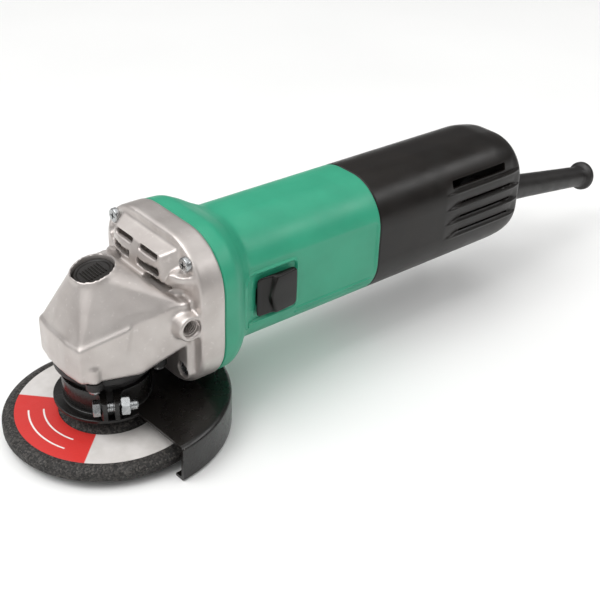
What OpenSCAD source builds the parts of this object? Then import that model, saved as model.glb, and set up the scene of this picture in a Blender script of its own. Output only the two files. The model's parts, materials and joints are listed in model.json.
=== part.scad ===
// Angle grinder for 100 mm depressed-centre wheels.
// Origin: spindle axis at the wheel seat. +X runs along the motor to the tail, +Z points away from the wheel.
// Parts along the motor are placed by x and by height over the motor axis, parts on the spindle by z.

/* [Layout] */
// Height of the motor axis above the wheel seat
axis_h = 46; // [45.8:0.1:46.2]
// Joint of gear housing and motor housing
head_x = 40; // [39.9:0.1:40.3]
// Joint of motor housing and tail cover
joint_x = 145; // [144.5:0.5:146]
// Rear end of the tail cover
tail_x = 257; // [255:1:260]

/* [Handle] */
// Half the width of the grip
grip_hw = 28.3; // [28:0.1:28.8]
// Half the height of the grip
grip_hh = 33; // [32.5:0.1:33.5]
// Corner radius of the grip
grip_r = 24; // [22:0.5:25]
// Wall thickness of the plastic housings
wall = 2.4; // [2:0.1:2.6]

/* [Gear head] */
// Half the width of the flange band
band_hw = 40; // [39.5:0.1:41]
// Half the height of the flange band
band_hh = 38.5; // [38:0.1:39]
// Corner radius of the flange band
band_r = 26; // [25:0.5:27]
// Front face of the flange band
band_x = 27; // [26.8:0.1:27.2]
// Side-handle thread, at its major diameter
handle_thread_d = 8.1; // [8:0.05:8.2]

/* [Wheel and guard] */
// Wheel radius
wheel_r = 50; // [48:0.5:51]
// Wheel thickness
wheel_t = 6; // [5:0.5:6]
// Depth of the wheel's depressed centre
wheel_offset = 4.5; // [4:0.1:4.6]
// Wheel bore radius
wheel_bore_r = 8; // [8:0.05:8.1]
// Outer radius of the guard
guard_r = 58.3; // [57.5:0.1:59]
// Sheet thickness of the guard
guard_t = 1.6; // [1.4:0.1:1.8]
// Half the angle that the guard covers, measured from the tail
guard_half_deg = 87; // [70:1:90]
// Top of the guard plate
guard_top = 4.6; // [4.5:0.1:4.8]
// Bottom of the guard skirt
guard_low = -14.5; // [-15:0.1:-14]

/* [Gears] */
// Teeth of the bevel gear
gear_teeth = 37; // [37:1:37]
// Teeth of the pinion
pinion_teeth = 10; // [10:1:10]
// Pitch radius of the bevel gear
gear_pitch_r = 21; // [20.8:0.1:21]

/* [Motor] */
// Radius of the laminated armature core
armature_r = 14.9; // [14.5:0.1:15]
// Bore radius of the stator
stator_bore_r = 15.3; // [15.2:0.1:15.5]
// Length of the laminated stacks
stack_len = 45; // [42:1:46]
// Radius of the cooling fan
fan_r = 30.5; // [29:0.5:31]

/* [Cord guard] */
// Length of the sleeve outside the tail cover
sleeve_len = 99; // [90:1:105]
// Droop of the sleeve below the motor axis, in degrees
sleeve_droop = 8.9; // [8:0.1:10]
// Radius of the cord's passage
cord_r = 3.6; // [3.4:0.1:3.8]

/* [Hidden] */
$fn = 48;
cut = 1;                  // how far a cutting tool runs past the face it opens
touch = 0.05;             // clearance of a running fit, on the radius

// Spindle stack, heights above the wheel seat
spindle_r = 6;
thread_r = 5;
spindle_top_r = 4;
spindle_low = -10.9;
flange_h = 5;
cover_z = 26;             // bearing cover meets the gear housing
cover_plate_low = 22.4;
cover_r = 24;
cover_low = 5.6;
collar_r = 19;
collar_play = 0.1;
bearing_z = [12.5, 22.5];
bearing_r = [6, 9.4, 12.6, 16];
gear_hub_z = 40;
spindle_top_z = 56;
chamber_r = 22.3;
chamber_top = 51;
chamber_wide = 43.5;      // over this the chamber narrows under the dome
chamber_top_r = 14;

// Lock button
button_x = -3.2;
button_r = 9.5;
button_tilt = 13.6;
button_face_h = 24.6;     // centre of the button's face over the motor axis
button_low = 66;
pin_x = -9.6;
pin_r = 2.3;
hole_play = 0.3;          // room of the lock holes round the pin
well_floor = 60.5;
spring_floor = 56.5;
lock_holes = 4;

// Motor stack along X
pinion_bore_r = 2.4;
plate_x = [28, 37];
front_x = [29, 37];
front_r = [5, 7.6, 10.4, 13];
rear_x = [137.5, 144.5];
rear_r = [4, 6, 9, 11];
bearing_seat_r = 16;
plate_disc_r = 33;
fan_x = [44.5, 53];
stack_x = 66;
stator_hw = 23.2;
stator_hh = 29.4;
commutator_x = [121, 133];
commutator_r = 10.5;
fan_bore_r = 32.5;

// Screws
top_screw = [29.2, 30.2];
low_screw = [28, -25];
screw_r = 2.1;
screw_head_r = 3.6;
guard_ear_deg = -117;
band_z = [8, 17];
ear_half = 4.6;
ear_gap = 1.6;
ear_reach = 30;
clamp_r = 25.5;
clamp_h = 12.5;
tail_screw_x = 151;

// Slide switch
knob_x = [65.5, 89];
knob_z = [-12, 9];
knob_mid = -1.5;
bar_y = [-25.3, -24.3];
slot_floor_y = -27;

/* ---------- shared shapes ---------- */

// Round bar along X at the motor axis
module rod_x(x0, x1, r, r_end = undef) {
    translate([x0, 0, axis_h]) rotate([0, 90, 0])
        cylinder(h = x1 - x0, r1 = r, r2 = is_undef(r_end) ? r : r_end);
}

// Tube along X at the motor axis
module ring_x(x0, x1, outer, inner) {
    difference() {
        rod_x(x0, x1, outer);
        rod_x(x0 - cut, x1 + cut, inner);
    }
}

// Tube along Z at the spindle axis
module ring_z(z0, z1, outer, inner) {
    translate([0, 0, z0]) difference() {
        cylinder(h = z1 - z0, r = outer);
        translate([0, 0, -cut]) cylinder(h = z1 - z0 + 2 * cut, r = inner);
    }
}

// Extrudes a YZ outline along X, the outline's own centre on the motor axis
module prism_x(x0, x1) {
    translate([x0, 0, axis_h]) rotate([90, 0, 90]) linear_extrude(x1 - x0) children();
}

// Box between two corners
module block(low, high) {
    translate(low) cube(high - low);
}

// Rectangle with round corners
module soft_rect(hw, hh, r, rise = 0) {
    translate([0, rise]) union() {
        square([2 * hw, 2 * (hh - r)], center = true);
        square([2 * (hw - r), 2 * hh], center = true);
        for (sx = [-1, 1], sy = [-1, 1]) translate([sx * (hw - r), sy * (hh - r)]) circle(r);
    }
}

// Grip section, made smaller by the inset
module grip_section(inset = 0) {
    soft_rect(grip_hw - inset, grip_hh - inset, grip_r - inset);
}

// Sector of a ring between two angles, less than 180 degrees apart
module sector(r0, r1, a0, a1) {
    reach = 2 * r1;
    intersection() {
        difference() {
            circle(r1);
            circle(r0);
        }
        polygon([[0, 0], reach * [cos(a0), sin(a0)], reach * [cos((a0 + a1) / 2), sin((a0 + a1) / 2)],
            reach * [cos(a1), sin(a1)]]);
    }
}

// The pair of children at +Y and -Y
module both_sides() {
    children();
    mirror([0, 1, 0]) children();
}

// Pan-head screw along +X with its head at x = 0
module screw_along_x(length, shank = screw_r, head = screw_head_r, head_len = 2.4) {
    rotate([0, 90, 0]) difference() {
        union() {
            translate([0, 0, -head_len]) cylinder(h = head_len, r = head);
            translate([0, 0, -0.01]) cylinder(h = length, r = shank);
        }
        for (turn = [0, 90]) rotate(turn) translate([-2, -0.5, -head_len - cut]) cube([4, 1, cut + 1.3]);
    }
}

// Ring of a ball bearing with the raceway groove, on the Z axis
module race(z0, z1, r0, r1, ball_track_r, groove_r) {
    translate([0, 0, z0]) difference() {
        rotate_extrude() translate([r0, 0]) square([r1 - r0, z1 - z0]);
        rotate_extrude() translate([ball_track_r, (z1 - z0) / 2]) circle(groove_r);
    }
}

// Turns a bearing drawn on Z onto the motor axis, z becoming x
module on_motor_axis() {
    translate([0, 0, axis_h]) rotate([0, 90, 0]) children();
}

// Ring of balls on the Z axis
module ball_ring(z, track_r, ball_r, count) {
    for (i = [0:count - 1]) rotate(i * 360 / count) translate([track_r, 0, z]) sphere(ball_r);
}

/* ---------- bevel gears, both with their apex where the two axes cross ---------- */

pinion_pitch_r = gear_pitch_r * pinion_teeth / gear_teeth;
cone_len = sqrt(pow(gear_pitch_r, 2) + pow(pinion_pitch_r, 2));
tooth_module = 2 * gear_pitch_r / gear_teeth;
tooth_tip = 0.85 * tooth_module;
tooth_root = -1.05 * tooth_module;
face_ratio = 0.7;         // inner end of the teeth, as a part of the cone length

// Point of a tooth ring: end ratio s, height h over the pitch cone, angle a, pitch radii of this gear and its mate
function tooth_point(s, h, a, own_r, mate_r) =
    let (radial = s * (own_r + h * mate_r / cone_len), axial = s * (h * own_r / cone_len - mate_r))
    [radial * cos(a), radial * sin(a), axial];

// Heights and half-angles of one tooth's outline, from the root before it to the root after it
function tooth_outline(count, root_half, tip_half) = [for (i = [0:count - 1])
    let (mid = i * 360 / count)
    each [[tooth_root, mid - root_half], [tooth_tip, mid - tip_half], [tooth_tip, mid + tip_half],
        [tooth_root, mid + root_half]]];

// Closed band of teeth with its apex at the origin and its back a ring of radius back_r
module tooth_band(count, own_r, mate_r, root_half, tip_half, back_r, back_z) {
    outline = tooth_outline(count, root_half, tip_half);
    n = len(outline);
    outer = [for (p = outline) tooth_point(1, p[0], p[1], own_r, mate_r)];
    inner = [for (p = outline) tooth_point(face_ratio, p[0], p[1], own_r, mate_r)];
    back_outer = [for (p = outline) [back_r[1] * cos(p[1]), back_r[1] * sin(p[1]), back_z]];
    back_inner = [for (p = outline) [back_r[0] * cos(p[1]), back_r[0] * sin(p[1]), back_z]];
    rings = [outer, inner, back_inner, back_outer];
    faces = [for (k = [0:3], i = [0:n - 1])
        let (a = k * n + i, b = k * n + (i + 1) % n, c = ((k + 1) % 4) * n + i, d = ((k + 1) % 4) * n + (i + 1) % n)
        each [[a, c, b], [b, c, d]]];
    polyhedron(points = [for (ring = rings) each ring], faces = faces, convexity = 10);
}

/* ---------- gear head ---------- */

// Corner balls of the nose, one side: x, y and height over the motor axis
nose_corners = [[-22.7, 8, -18], [-21.2, 17, -18], [3, 25.4, -18], [24, 30.5, -8], [-22.7, 8, -3.2],
    [-21.2, 17, -3.2], [2, 24.2, 4.4], [24, 31.6, 11.6], [21, 12, 11]];
// Corner balls of the block that holds the air outlets
vent_corners = [[18, 9, 12], [20, 22, 10], [18, 8, 24], [20.5, 19.5, 24], [20.2, 18, 30.5], [23.5, 19, 31.6],
    [29, 22.5, 34], [29, 26, 16]];

module corner_hull(corners, r) {
    hull() {
        for (p = corners, side = [-1, 1]) translate([p[0], side * p[1], axis_h + p[2]]) sphere(r, $fn = 12);
        children();
    }
}

// Slanted disc round the lock button
module button_rim(r, thick) {
    translate([button_x, 0, axis_h + button_face_h]) rotate([0, -button_tilt, 0]) cylinder(h = thick, r = r, $fn = 40);
}

module gear_housing_solid() {
    corner_hull(nose_corners, 2) button_rim(11.5, 0.6);
    corner_hull(vent_corners, 1.5);
    prism_x(band_x, head_x) soft_rect(band_hw, band_hh, band_r, 1);
    // Side-handle bosses
    both_sides() translate([23, -38, axis_h + 2.5]) rotate([-90, 0, 0]) cylinder(h = 12, r = 6.2);
    // Lower screw bosses
    for (side = [-1, 1]) {
        translate([23.6, side * low_screw[0], axis_h + low_screw[1]]) rotate([0, 90, 0]) cylinder(h = 6, r = 5);
        block([23.6, side * low_screw[0] - 5, axis_h + low_screw[1]], [29, side * low_screw[0] + 5, axis_h - 9]);
    }
    // Wall of the gear chamber and the bosses of the cover screws
    translate([0, 0, cover_z]) cylinder(h = 14, r = chamber_r + 2.2);
    for (pos = cover_screw_pos) translate([pos[0], pos[1], cover_z]) cylinder(h = 8, r = 3);
}

module gear_housing() {
    color([0.74, 0.71, 0.70]) difference() {
        gear_housing_solid();
        translate([0, 0, 10]) cylinder(h = chamber_wide - 10, r = chamber_r);
        translate([0, 0, chamber_wide - cut]) cylinder(h = chamber_top - chamber_wide + cut, r1 = chamber_r,
            r2 = chamber_top_r);
        rod_x(5, 28.5, 9.5);
        rod_x(plate_x[0] - 0.1, head_x, bearing_seat_r + touch);
        rod_x(37, head_x + cut, plate_disc_r + touch);
        ring_x(30, 37 + cut, 32, bearing_seat_r + 3);
        // Air duct from the fan to the outlets
        block([19.5, -17, axis_h + 15.5], [37, 17, axis_h + 28.5]);
        both_sides() vent_slots();
        // Lock button's well, spring seat and pin guide
        translate([button_x, 0, well_floor]) cylinder(h = 30, r = button_r + 0.2);
        translate([pin_x, 0, spring_floor]) cylinder(h = 10, r = 3.7);
        translate([pin_x, 0, chamber_top - cut]) cylinder(h = 10, r = pin_r + touch);
        // Seat of the upper bush, with room over the spindle's end
        translate([0, 0, chamber_top - cut]) cylinder(h = 6.5 + cut, r = 5.6);
        // Corner screws and the recesses of their heads
        for (pos = [top_screw, low_screw], side = [-1, 1]) {
            translate([20, side * pos[0], axis_h + pos[1]]) rotate([0, 90, 0]) cylinder(h = 30, r = screw_r + 0.1);
            translate([12, side * pos[0], axis_h + pos[1]]) rotate([0, 90, 0]) cylinder(h = 15, r = 4.2);
        }
        // Side-handle threads and their drill points
        both_sides() translate([23, -39, axis_h + 2.5]) rotate([-90, 0, 0]) {
            cylinder(h = 14, d = handle_thread_d);
            translate([0, 0, 14]) cylinder(h = 2.4, d1 = handle_thread_d, d2 = 0);
        }
        // Threads of the cover screws
        for (pos = cover_screw_pos) translate([pos[0], pos[1], 15]) cylinder(h = 18, r = 1.5);
    }
}

// Three outlets on one side of the head's centre rib
module vent_slots() {
    block([10, 2.8, axis_h + 27], [20.5, 16.5, axis_h + 29.8]);
    block([10, 2.8, axis_h + 22], [20.5, 17, axis_h + 24.4]);
    block([14, 9.5, axis_h + 17], [22.5, 20, axis_h + 19.2]);
}

module gearcase_screws() {
    color("silver") for (pos = [top_screw, low_screw], side = [-1, 1])
        translate([band_x, side * pos[0], axis_h + pos[1]]) screw_along_x(20);
}

cover_screw_pos = [[-16.5, -18.5], [-16.5, 18.5], [16.5, -19], [16.5, 19]];

module bearing_cover() {
    color([0.15, 0.14, 0.13]) difference() {
        union() {
            translate([0, 0, cover_plate_low]) cylinder(h = cover_z - cover_plate_low, r = cover_r);
            for (pos = cover_screw_pos) translate([pos[0], pos[1], cover_plate_low])
                cylinder(h = cover_z - cover_plate_low, r = 3.6);
            translate([0, 0, cover_low]) cylinder(h = cover_z + 3 - cover_low, r = collar_r);
            translate([0, 0, cover_z - cut]) cylinder(h = 3 + cut, r = chamber_r - touch);
        }
        translate([0, 0, bearing_z[0]]) cylinder(h = 20, r = bearing_r[3]);
        translate([0, 0, 9.5]) cylinder(h = 20, r = 12);
        cylinder(h = 20, r = spindle_r + 0.6);
        for (pos = cover_screw_pos) translate([pos[0], pos[1], 10]) cylinder(h = 20, r = 1.6);
    }
}

module cover_screws() {
    color("silver") for (pos = cover_screw_pos) translate([pos[0], pos[1], cover_plate_low])
        rotate([0, -90, 0]) screw_along_x(10, 1.5, 3, 1.8);
}

/* ---------- spindle ---------- */

module spindle_bearing_outer() {
    color("silver") race(bearing_z[0], bearing_z[1], bearing_r[2], bearing_r[3], 11, 2.6);
}

module spindle_bearing_balls() {
    color("gainsboro") ball_ring((bearing_z[0] + bearing_z[1]) / 2, 11, 2.4, 9);
}

module spindle_bearing_inner() {
    color("silver") race(bearing_z[0], bearing_z[1], bearing_r[0], bearing_r[1], 11, 2.6);
}

module upper_bush() {
    color("goldenrod") ring_z(chamber_top, spindle_top_z, 5.6, spindle_top_r + touch);
}

module spindle_seal() {
    color("dimgray") ring_z(9.5, 12.4, 12, spindle_r + 0.3);
}

module spindle() {
    color("lightsteelblue") difference() {
        union() {
            thread_profile();
            translate([0, 0, flange_h]) cylinder(h = gear_hub_z - flange_h + 1.5, r = spindle_r);
            translate([0, 0, gear_hub_z]) cylinder(h = spindle_top_z - gear_hub_z, r = spindle_top_r);
            translate([0, 0, bearing_z[1] + 0.1]) cylinder(h = 30 - bearing_z[1] - 0.1, r = 8);
        }
        // Groove of the circlip and slot of the key
        ring_z(gear_hub_z + 0.05, gear_hub_z + 1.05, 8, spindle_r - 0.8);
        rotate(45) block([spindle_r - 2.5, -1.5, 32], [spindle_r + 1, 1.5, 39]);
    }
}

// Wheel thread as a row of grooves
module thread_profile() {
    pitch = 1.5;
    turns = 9;
    rotate_extrude() polygon(concat([[0, flange_h + 1], [0, spindle_low], [thread_r - 1, spindle_low]],
        [for (i = [0:turns - 1]) each [[thread_r, spindle_low + 1 + i * pitch],
            [thread_r - 0.7, spindle_low + 1 + (i + 0.5) * pitch]]],
        [[thread_r, spindle_low + 1 + turns * pitch], [thread_r, flange_h + 1]]));
}

module bevel_gear() {
    pitch_half = 180 / gear_teeth;
    color("slategray") difference() {
        union() {
            translate([0, 0, axis_h]) tooth_band(gear_teeth, gear_pitch_r, pinion_pitch_r, 0.66 * pitch_half,
                0.22 * pitch_half, [10, gear_pitch_r - 1], 33 - axis_h);
            translate([0, 0, 30]) cylinder(h = gear_hub_z - 30, r = 13);
        }
        translate([0, 0, 29]) cylinder(h = 13, r = spindle_r);
        rotate(45) block([0, -1.5, 32], [spindle_r + 1.5, 1.5, 39]);
        for (i = [0:lock_holes - 1]) rotate(i * 360 / lock_holes) translate([pin_x, 0, 34])
            cylinder(h = 10, r = pin_r + hole_play);
    }
}

module gear_key() {
    color("silver") rotate(45) block([spindle_r - 2.5, -1.5, 32], [spindle_r + 1.5, 1.5, 39]);
}

module gear_circlip() {
    color("dimgray") difference() {
        ring_z(gear_hub_z + 0.1, gear_hub_z + 1, 6.3, spindle_r - 0.8);
        block([2, -1.5, gear_hub_z - 1], [9, 1.5, gear_hub_z + 2]);
    }
}

module inner_flange() {
    color([0.25, 0.25, 0.26]) difference() {
        union() {
            cylinder(h = 2.6, r = 15.5);
            cylinder(h = flange_h, r = 11);
            translate([0, 0, -3.5]) cylinder(h = 4, r = wheel_bore_r - 0.05);
        }
        translate([0, 0, -5]) cylinder(h = 12, r = thread_r);
    }
}

module wheel_bush() {
    color("silver") ring_z(-wheel_t, 0, 9.2, wheel_bore_r);
}

module grinding_wheel() {
    rim = -wheel_offset;
    low = -wheel_offset - wheel_t;
    color([0.16, 0.15, 0.14]) rotate_extrude() polygon([[9.2, 0], [18.6, 0], [23.4, rim], [wheel_r - 3, rim],
        [wheel_r - 0.6, rim - 1.2], [wheel_r, rim - 2], [wheel_r, low + 0.8], [wheel_r - 0.8, low], [21.4, low],
        [16.6, -wheel_t], [9.2, -wheel_t]]);
}

module wheel_label() {
    color([0.85, 0.2, 0.18]) ring_z(-wheel_offset, -wheel_offset + 0.25, 44.2, 23.85);
}

module lock_nut() {
    color([0.2, 0.2, 0.2]) difference() {
        union() {
            translate([0, 0, -10.4]) cylinder(h = 10.4 - wheel_t, r = 14.5);
            translate([0, 0, -wheel_t - 0.1]) cylinder(h = 1.6, r = wheel_bore_r - 0.05);
        }
        translate([0, 0, -12]) cylinder(h = 10, r = thread_r);
        for (i = [0:3]) rotate(45 + 90 * i) translate([10.5, 0, -12]) cylinder(h = 5, r = 2);
    }
}

/* ---------- guard ---------- */

// Guard sheet between two radii over the covered angle
module guard_arc(z0, z1, r0, r1) {
    translate([0, 0, z0]) linear_extrude(z1 - z0) {
        sector(r0, r1, 0, guard_half_deg);
        sector(r0, r1, -guard_half_deg, 0);
    }
}

module wheel_guard() {
    color([0.11, 0.1, 0.09]) union() {
        guard_arc(guard_top - guard_t, guard_top, collar_r + 0.8, guard_r);
        guard_arc(guard_low, guard_top - guard_t / 2, guard_r - guard_t, guard_r);
        guard_arc(guard_low, guard_low + guard_t, guard_r - 6, guard_r);
        ring_z(guard_top - guard_t, guard_top, 25.5, collar_r + collar_play);
        ring_z(guard_top - guard_t, band_z[0], collar_r + 1.4, collar_r + collar_play);
    }
}

module guard_band() {
    color([0.13, 0.12, 0.11]) rotate(guard_ear_deg) translate([0, 0, band_z[0]]) difference() {
        linear_extrude(band_z[1] - band_z[0]) difference() {
            union() {
                circle(collar_r + 2);
                translate([0, -ear_half]) square([ear_reach, 2 * ear_half]);
            }
            circle(collar_r + collar_play);
            translate([0, -ear_gap]) square([ear_reach + cut, 2 * ear_gap]);
        }
        translate([clamp_r, -10, clamp_h - band_z[0]]) rotate([-90, 0, 0]) cylinder(h = 20, r = 2.6);
    }
}

// Clamp screw, its head on the nose side of the ears
module guard_clamp_screw() {
    color("silver") rotate(guard_ear_deg) translate([clamp_r, -ear_half, clamp_h]) rotate([-90, 0, 0]) {
        cylinder(h = 17, r = 2.5);
        translate([0, 0, -3.4]) cylinder(h = 3.4, r = 4, $fn = 6);
    }
}

module guard_clamp_nut() {
    color("silver") rotate(guard_ear_deg) translate([clamp_r, ear_half, clamp_h]) rotate([-90, 0, 0]) difference() {
        cylinder(h = 4, r = 4.6, $fn = 6);
        translate([0, 0, -cut]) cylinder(h = 6, r = 2.5);
    }
}

/* ---------- spindle lock ---------- */

module lock_button() {
    face_h = axis_h + button_face_h - 1.2;
    color([0.09, 0.08, 0.08]) difference() {
        translate([button_x, 0, button_low]) cylinder(h = 14, r = button_r);
        // Slanted face
        translate([button_x, 0, face_h]) rotate([0, -button_tilt, 0]) translate([-20, -20, 0]) cube(40);
        translate([pin_x, 0, button_low - cut]) cylinder(h = cut + 1.2, r = pin_r);
    }
}

module lock_pin() {
    color("silver") translate([pin_x, 0, gear_hub_z + 1.6]) cylinder(h = button_low + 1.2 - gear_hub_z - 1.6, r = pin_r);
}

module lock_spring() {
    turns = 5;
    wire_r = 0.4;
    rise = (button_low - spring_floor - 2 * wire_r) / (turns - 1);
    color("silver") translate([pin_x, 0, spring_floor + wire_r]) for (i = [0:turns - 1])
        translate([0, 0, i * rise]) rotate_extrude() translate([3.15, 0]) circle(wire_r);
}

/* ---------- armature ---------- */

module bearing_plate() {
    color([0.7, 0.7, 0.7]) difference() {
        union() {
            rod_x(plate_x[0], 39.9, bearing_seat_r);
            rod_x(37, 39.9, plate_disc_r);
        }
        rod_x(front_x[0], 41, front_r[3]);
        rod_x(plate_x[0] - cut, 41, 10.6);
        for (i = [0:7]) translate([36, 0, axis_h]) rotate([22.5 + 45 * i, 0, 0]) translate([0, 24.5, 0])
            rotate([0, 90, 0]) cylinder(h = 5, r = 6);
    }
}

module front_bearing_outer() {
    color("silver") on_motor_axis() race(front_x[0], front_x[1], front_r[2], front_r[3], 9, 2.1);
}

module front_bearing_balls() {
    color("gainsboro") on_motor_axis() ball_ring((front_x[0] + front_x[1]) / 2, 9, 1.9, 9);
}

module front_bearing_inner() {
    color("silver") on_motor_axis() race(front_x[0], front_x[1], front_r[0], front_r[1], 9, 2.1);
}

module armature_shaft() {
    color("lightsteelblue") {
        rod_x(9.4, 29, pinion_bore_r);
        rod_x(28.9, 60, front_r[0]);
        rod_x(59, 144.4, rear_r[0]);
    }
}

module pinion() {
    pitch_half = 180 / pinion_teeth;
    color("slategray") difference() {
        union() {
            translate([0, 0, axis_h]) rotate([0, -90, 0]) rotate(pitch_half) tooth_band(pinion_teeth,
                pinion_pitch_r, gear_pitch_r, 0.6 * pitch_half, 0.14 * pitch_half, [2, 5], -22);
            rod_x(14.9, 23, 3.2);
            rod_x(21.6, 28.9, 6);
        }
        rod_x(10, 30, pinion_bore_r);
    }
}

module pinion_nut() {
    color("silver") difference() {
        translate([9.8, 0, axis_h]) rotate([0, 90, 0]) cylinder(h = 4.2, r = 4.6, $fn = 6);
        rod_x(8, 16, pinion_bore_r);
    }
}

module armature_core() {
    slots = 12;
    color("gray") prism_x(stack_x, stack_x + stack_len) difference() {
        circle(armature_r);
        circle(rear_r[0]);
        for (i = [0:slots - 1]) rotate(i * 360 / slots) {
            translate([11.2, 0]) circle(1.9);
            translate([11, -0.6]) square([6, 1.2]);
        }
    }
}

module armature_windings() {
    end_x = stack_x + stack_len;
    color("peru") {
        difference() {
            union() {
                rod_x(stack_x - 6, stack_x, 9.5, 13.4);
                rod_x(end_x, end_x + 7, 13.4, 9);
            }
            rod_x(stack_x - 7, end_x + 8, rear_r[0]);
        }
        for (i = [0:11]) translate([0, 0, axis_h]) rotate([i * 30, 0, 0]) translate([stack_x, 11.2, 0])
            rotate([0, 90, 0]) cylinder(h = stack_len, r = 1.6);
    }
}

module commutator() {
    bars = 24;
    color("chocolate") difference() {
        ring_x(commutator_x[0], commutator_x[1], commutator_r, rear_r[0]);
        for (i = [0:bars - 1]) translate([0, 0, axis_h]) rotate([i * 360 / bars, 0, 0])
            block([commutator_x[0] - cut, -0.25, commutator_r - 1], [commutator_x[1] + cut, 0.25, commutator_r + cut]);
    }
}

module cooling_fan() {
    blades = 13;
    color("whitesmoke") difference() {
        union() {
            rod_x(fan_x[0], fan_x[0] + 2, fan_r);
            rod_x(fan_x[0], fan_x[1], 9);
            for (i = [0:blades - 1]) translate([0, 0, axis_h]) rotate([i * 360 / blades, 0, 0])
                translate([fan_x[0], 0, 13]) rotate([0, 0, 12]) block([0.4, -0.9, 0], [8, 0.9, fan_r - 14]);
        }
        rod_x(fan_x[0] - cut, fan_x[1] + cut, front_r[0]);
    }
}

module rear_bearing_outer() {
    color("silver") on_motor_axis() race(rear_x[0], rear_x[1], rear_r[2], rear_r[3], 7.5, 1.8);
}

module rear_bearing_balls() {
    color("gainsboro") on_motor_axis() ball_ring((rear_x[0] + rear_x[1]) / 2, 7.5, 1.6, 8);
}

module rear_bearing_inner() {
    color("silver") on_motor_axis() race(rear_x[0], rear_x[1], rear_r[0], rear_r[1], 7.5, 1.8);
}

module bearing_sleeve() {
    color([0.1, 0.1, 0.1]) ring_x(rear_x[0], rear_x[1], 13, rear_r[3]);
}

/* ---------- motor housing ---------- */

// Sections of the shoulder: x, half-width, half-height, corner radius, rise of the centre
shoulder = [[46, 39.4, 38.2, 26, 1], [52, 36.4, 36.8, 25, 0.6], [58, 31.4, 34.4, 24, 0.2],
    [64, grip_hw, grip_hh, grip_r, 0]];

module shoulder_slice(s) {
    prism_x(s[0], s[0] + 0.1) soft_rect(s[1], s[2], s[3], s[4], $fn = 64);
}

module motor_housing_solid() {
    prism_x(head_x, 46.1) soft_rect(band_hw - 0.3, band_hh - 0.3, band_r, 1);
    for (i = [0:2]) hull() {
        shoulder_slice(shoulder[i]);
        shoulder_slice(shoulder[i + 1]);
    }
    prism_x(64, joint_x) grip_section();
    // Spigot inside the tail cover
    prism_x(joint_x - 1, joint_x + 12) grip_section(wall + 0.15);
}

module motor_housing() {
    color([0.25, 0.64, 0.52]) difference() {
        union() {
            difference() {
                motor_housing_solid();
                rod_x(head_x - cut, 53, fan_bore_r);
                rod_x(53, 60, fan_bore_r, grip_hw - wall);
                prism_x(56, joint_x - 8) grip_section(wall);
                prism_x(joint_x - 9, joint_x + 13) grip_section(wall + 2.4);
            }
            rear_bulkhead();
            // Ribs that hold the stator
            for (side = [-1, 1]) prism_x(stack_x, stack_x + stack_len)
                translate([-4, side * (stator_hh + 1.1) - 1.1]) square([8, 2.2]);
            // Boss of the tail screw
            translate([tail_screw_x, 0, axis_h - grip_hh + wall + 1]) cylinder(h = 8, r = 4);
        }
        // Corner screws
        for (pos = [top_screw, low_screw], side = [-1, 1])
            translate([head_x - cut, side * pos[0], axis_h + pos[1]]) rotate([0, 90, 0]) cylinder(h = 8.5, r = screw_r);
        // Channel of the slide bar
        block([58, bar_y[0] - 0.5, axis_h + knob_mid - 5], [joint_x + 14, bar_y[1] + 1.4, axis_h + knob_mid + 5]);
        // Knob's recess and the slot through the wall
        block([59, -60, axis_h + knob_z[0] - 1.5], [90, slot_floor_y, axis_h + knob_z[1] + 1.5]);
        block([66, -30, axis_h + knob_mid - 4.5], [83.5, -20, axis_h + knob_mid + 4.5]);
        translate([tail_screw_x, 0, axis_h - grip_hh]) cylinder(h = 14, r = 1.9);
    }
}

// Wall behind the commutator with the rear bearing's seat and the air openings
module rear_bulkhead() {
    difference() {
        union() {
            prism_x(134, 137) grip_section(wall - 0.2);
            rod_x(134, 145, 15.6);
        }
        rod_x(137, 146, 13);
        rod_x(133, 138, 8);
        for (i = [0:3]) prism_x(133, 138) sector(17, 24.5, 55 + 90 * i - 25, 55 + 90 * i + 5);
    }
}

module fan_baffle() {
    color([0.12, 0.12, 0.12]) difference() {
        union() {
            prism_x(60.5, 62) grip_section(wall + 0.3);
            rod_x(57, 62, 22);
        }
        rod_x(50, 63, 20.4);
        block([60, -30, axis_h + knob_mid - 5], [63, bar_y[1] + 1.4, axis_h + knob_mid + 5]);
    }
}

// Lamination outline with the two coil windows
module lamination() {
    difference() {
        intersection() {
            circle(30);
            square([2 * stator_hw, 2 * stator_hh], center = true);
        }
        circle(stator_bore_r);
        for (side = [0, 180]) {
            sector(stator_bore_r - 1, 21, side - 50, side - 20);
            sector(stator_bore_r - 1, 21, side + 20, side + 50);
        }
        for (side = [-1, 1]) translate([side * 19.2, side * 19.2]) circle(2.2);
    }
}

module stator_core() {
    color("darkgray") prism_x(stack_x, stack_x + stack_len) lamination();
}

// One coil: two runs in the windows and the end turns over the pole
module field_coil() {
    for (x0 = [stack_x - 3.8, stack_x + stack_len]) prism_x(x0, x0 + 3.8) {
        sector(16, 20.6, 24, 90);
        sector(16, 20.6, 90, 156);
    }
    prism_x(stack_x - 0.1, stack_x + stack_len + 0.1) {
        sector(16, 20.6, 24, 48);
        sector(16, 20.6, 132, 156);
    }
}

module field_coils() {
    color([0.7, 0.3, 0.15]) {
        field_coil();
        translate([0, 0, 2 * axis_h]) mirror([0, 0, 1]) field_coil();
    }
}

module stator_screws() {
    color("silver") for (side = [-1, 1]) translate([stack_x + stack_len, side * 19.2, axis_h + side * 19.2])
        mirror([1, 0, 0]) screw_along_x(stack_len + 3, 2, 3.2, 2);
}

/* ---------- brush gear ---------- */

// Repeats its child over and under the commutator
module both_brushes() {
    mid = (commutator_x[0] + commutator_x[1]) / 2;
    for (turn = [0, 180]) translate([mid, 0, axis_h]) rotate([turn, 0, 0]) children();
}

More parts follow.
